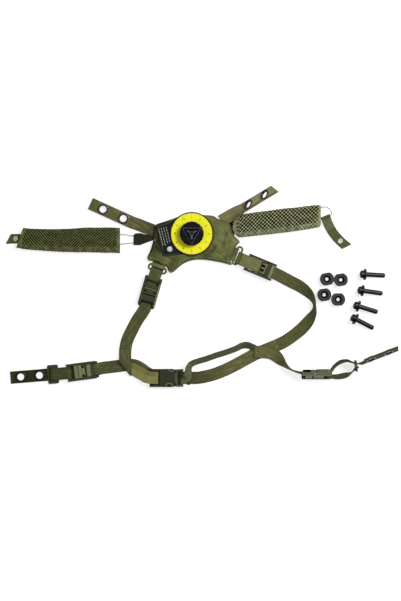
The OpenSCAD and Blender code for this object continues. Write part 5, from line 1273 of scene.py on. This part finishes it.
darkSeam, paleRows = bmesh.new(), bmesh.new()
sewLabel(darkSeam, [(0.07, 0.03), (0.93, 0.03), (0.93, 0.97), (0.07, 0.97), (0.07, 0.03)],
         pitch=1.8, length=1.3, radius=0.2)
for u, low in ((0.1, 0.66), (0.23, 0.68), (0.37, 0.62), (0.5, 0.6)):
    sewLabel(paleRows, [(u, 0.1), (u + 0.02, low)], pitch=3.4, length=2.9, radius=0.36)
spot = Matrix.Translation(labelTop(0.42, 0.8) * mm) @ Matrix.Diagonal((3.6 * mm, 3.6 * mm, 0.45 * mm, 1))
bmesh.ops.create_uvsphere(paleRows, u_segments=24, v_segments=8, radius=1.0, matrix=spot)
finishPiece("labelSeam", darkSeam, "thread")
finishPiece("labelRows", paleRows, "paleThread")
print("label made")

# plain numbers and ticks on the dial's ring
marks = {"numbers": 12, "radius": 21.4, "size": 4.0, "top": 12.42, "rim": 25.7, "thick": 0.08}
ticks = bmesh.new()
for k in range(60):
    start, half = (24.3, 0.22) if k % 5 == 0 else (24.9, 0.13)
    spin = place(dial, 90 - k * 6, marks["top"])
    corners = ((start, -half), (marks["rim"], -half), (marks["rim"], half), (start, half))
    skin(ticks, [newRing(ticks, [spin @ Vector((x, y, z)) for x, y in corners]) for z in (0, marks["thick"])])
finishPiece("ringTicks", ticks, "dial_black")
numbers = bmesh.new()
for k in range(marks["numbers"]):
    a = 90 - k * 360 / marks["numbers"]
    words = bpy.data.curves.new("ringNumber", "FONT")
    words.body = str(k + 1)
    words.size = marks["size"] * mm
    words.align_x = words.align_y = "CENTER"
    words.extrude = marks["thick"] / 2 * mm
    holder = addObject("ringNumber", words)
    bpy.context.view_layer.update()
    flat = holder.to_mesh()
    spot = Vector(ahead(dial, a, marks["radius"]) + [marks["top"] + 0.05])
    flat.transform(Matrix.Translation(spot * mm) @ Matrix.Rotation(rad(a - 90), 4, "Z"))
    numbers.from_mesh(flat)
    holder.to_mesh_clear()
    bpy.data.objects.remove(holder)
finishPiece("ringNumbers", numbers, "dial_black", sharp=30)
print("dial ring marked")

finishPiece("harnessStitches", harnessThread, "thread")
print("stitches made")

# floor: white, and seen by the camera as an evenly lit ground
ground = {"size": 6, "below": 0.4, "tone": (0.93, 0.93, 0.93, 1), "glow": 1.3, "share": 0.56}
floorMesh = bmesh.new()
bmesh.ops.create_grid(floorMesh, x_segments=1, y_segments=1, size=ground["size"])
floorData = bpy.data.meshes.new("floor")
floorMesh.to_mesh(floorData)
floorMesh.free()
floor = addObject("floor", floorData)
floor.location = (0, 0, -ground["below"] * mm)
floorLook = bpy.data.materials.new("floorWhite")
floorLook.use_nodes = True
tree = floorLook.node_tree
tree.nodes.clear()
rays = addNode(tree, "ShaderNodeLightPath", output=None)
seen = calc("ADD", rays["Is Camera Ray"] + rays["Is Glossy Ray"], rays["Is Transmission Ray"], clamp=True)
matte = addNode(tree, "ShaderNodeBsdfDiffuse", {"Color": ground["tone"]})
glow = addNode(tree, "ShaderNodeEmission", {"Color": (1, 1, 1, 1), "Strength": ground["glow"]})
mixed = addNode(tree, "ShaderNodeMixShader", {0: seen * ground["share"], 1: matte, 2: glow})
feed(tree.nodes.new("ShaderNodeOutputMaterial").inputs["Surface"], mixed)
floorData.materials.append(floorLook)

# world: white behind; reflections see a sky that is bright towards the key lamp and dark away from it
sky = {"brightSide": (0.5, 0.4, 0.77), "from": 0.1, "to": 1.0, "dark": 0.1, "bright": 1.3, "ambient": 0.34}
world = bpy.data.worlds.new("studio")
scene.world = world
world.use_nodes = True
tree = world.node_tree
tree.nodes.clear()
rays = addNode(tree, "ShaderNodeLightPath", output=None)
seen, glossy = rays["Is Camera Ray"], rays["Is Glossy Ray"]
view = addNode(tree, "ShaderNodeTexCoord", output="Generated")
towards = addNode(tree, "ShaderNodeVectorMath", {0: view, 1: sky["brightSide"]}, "Value", operation="DOT_PRODUCT")
mirrored = fade(towards, sky["from"], sky["to"], sky["dark"], sky["bright"]) * glossy
ambient = (1.0 - calc("ADD", seen, glossy, clamp=True)) * sky["ambient"]
backdrop = addNode(tree, "ShaderNodeBackground", {"Color": (1, 1, 1, 1), "Strength": seen + mirrored + ambient})
feed(tree.nodes.new("ShaderNodeOutputWorld").inputs["Surface"], backdrop)

for name, spot, size, power in (("keyLamp", (0.9, 0.54, 1.38), 0.75, 25.6), ("fillLamp", (-1.1, -0.4, 1.2), 0.9, 3.0)):
    lamp = bpy.data.lights.new(name, "AREA")
    lamp.shape = "DISK"
    lamp.size = size
    lamp.energy = power
    holder = addObject(name, lamp)
    holder.location = spot
    holder.rotation_euler = (-Vector(spot)).to_track_quat("-Z", "Y").to_euler()
scene.view_settings.view_transform = "Standard"
print("floor and lamps placed")
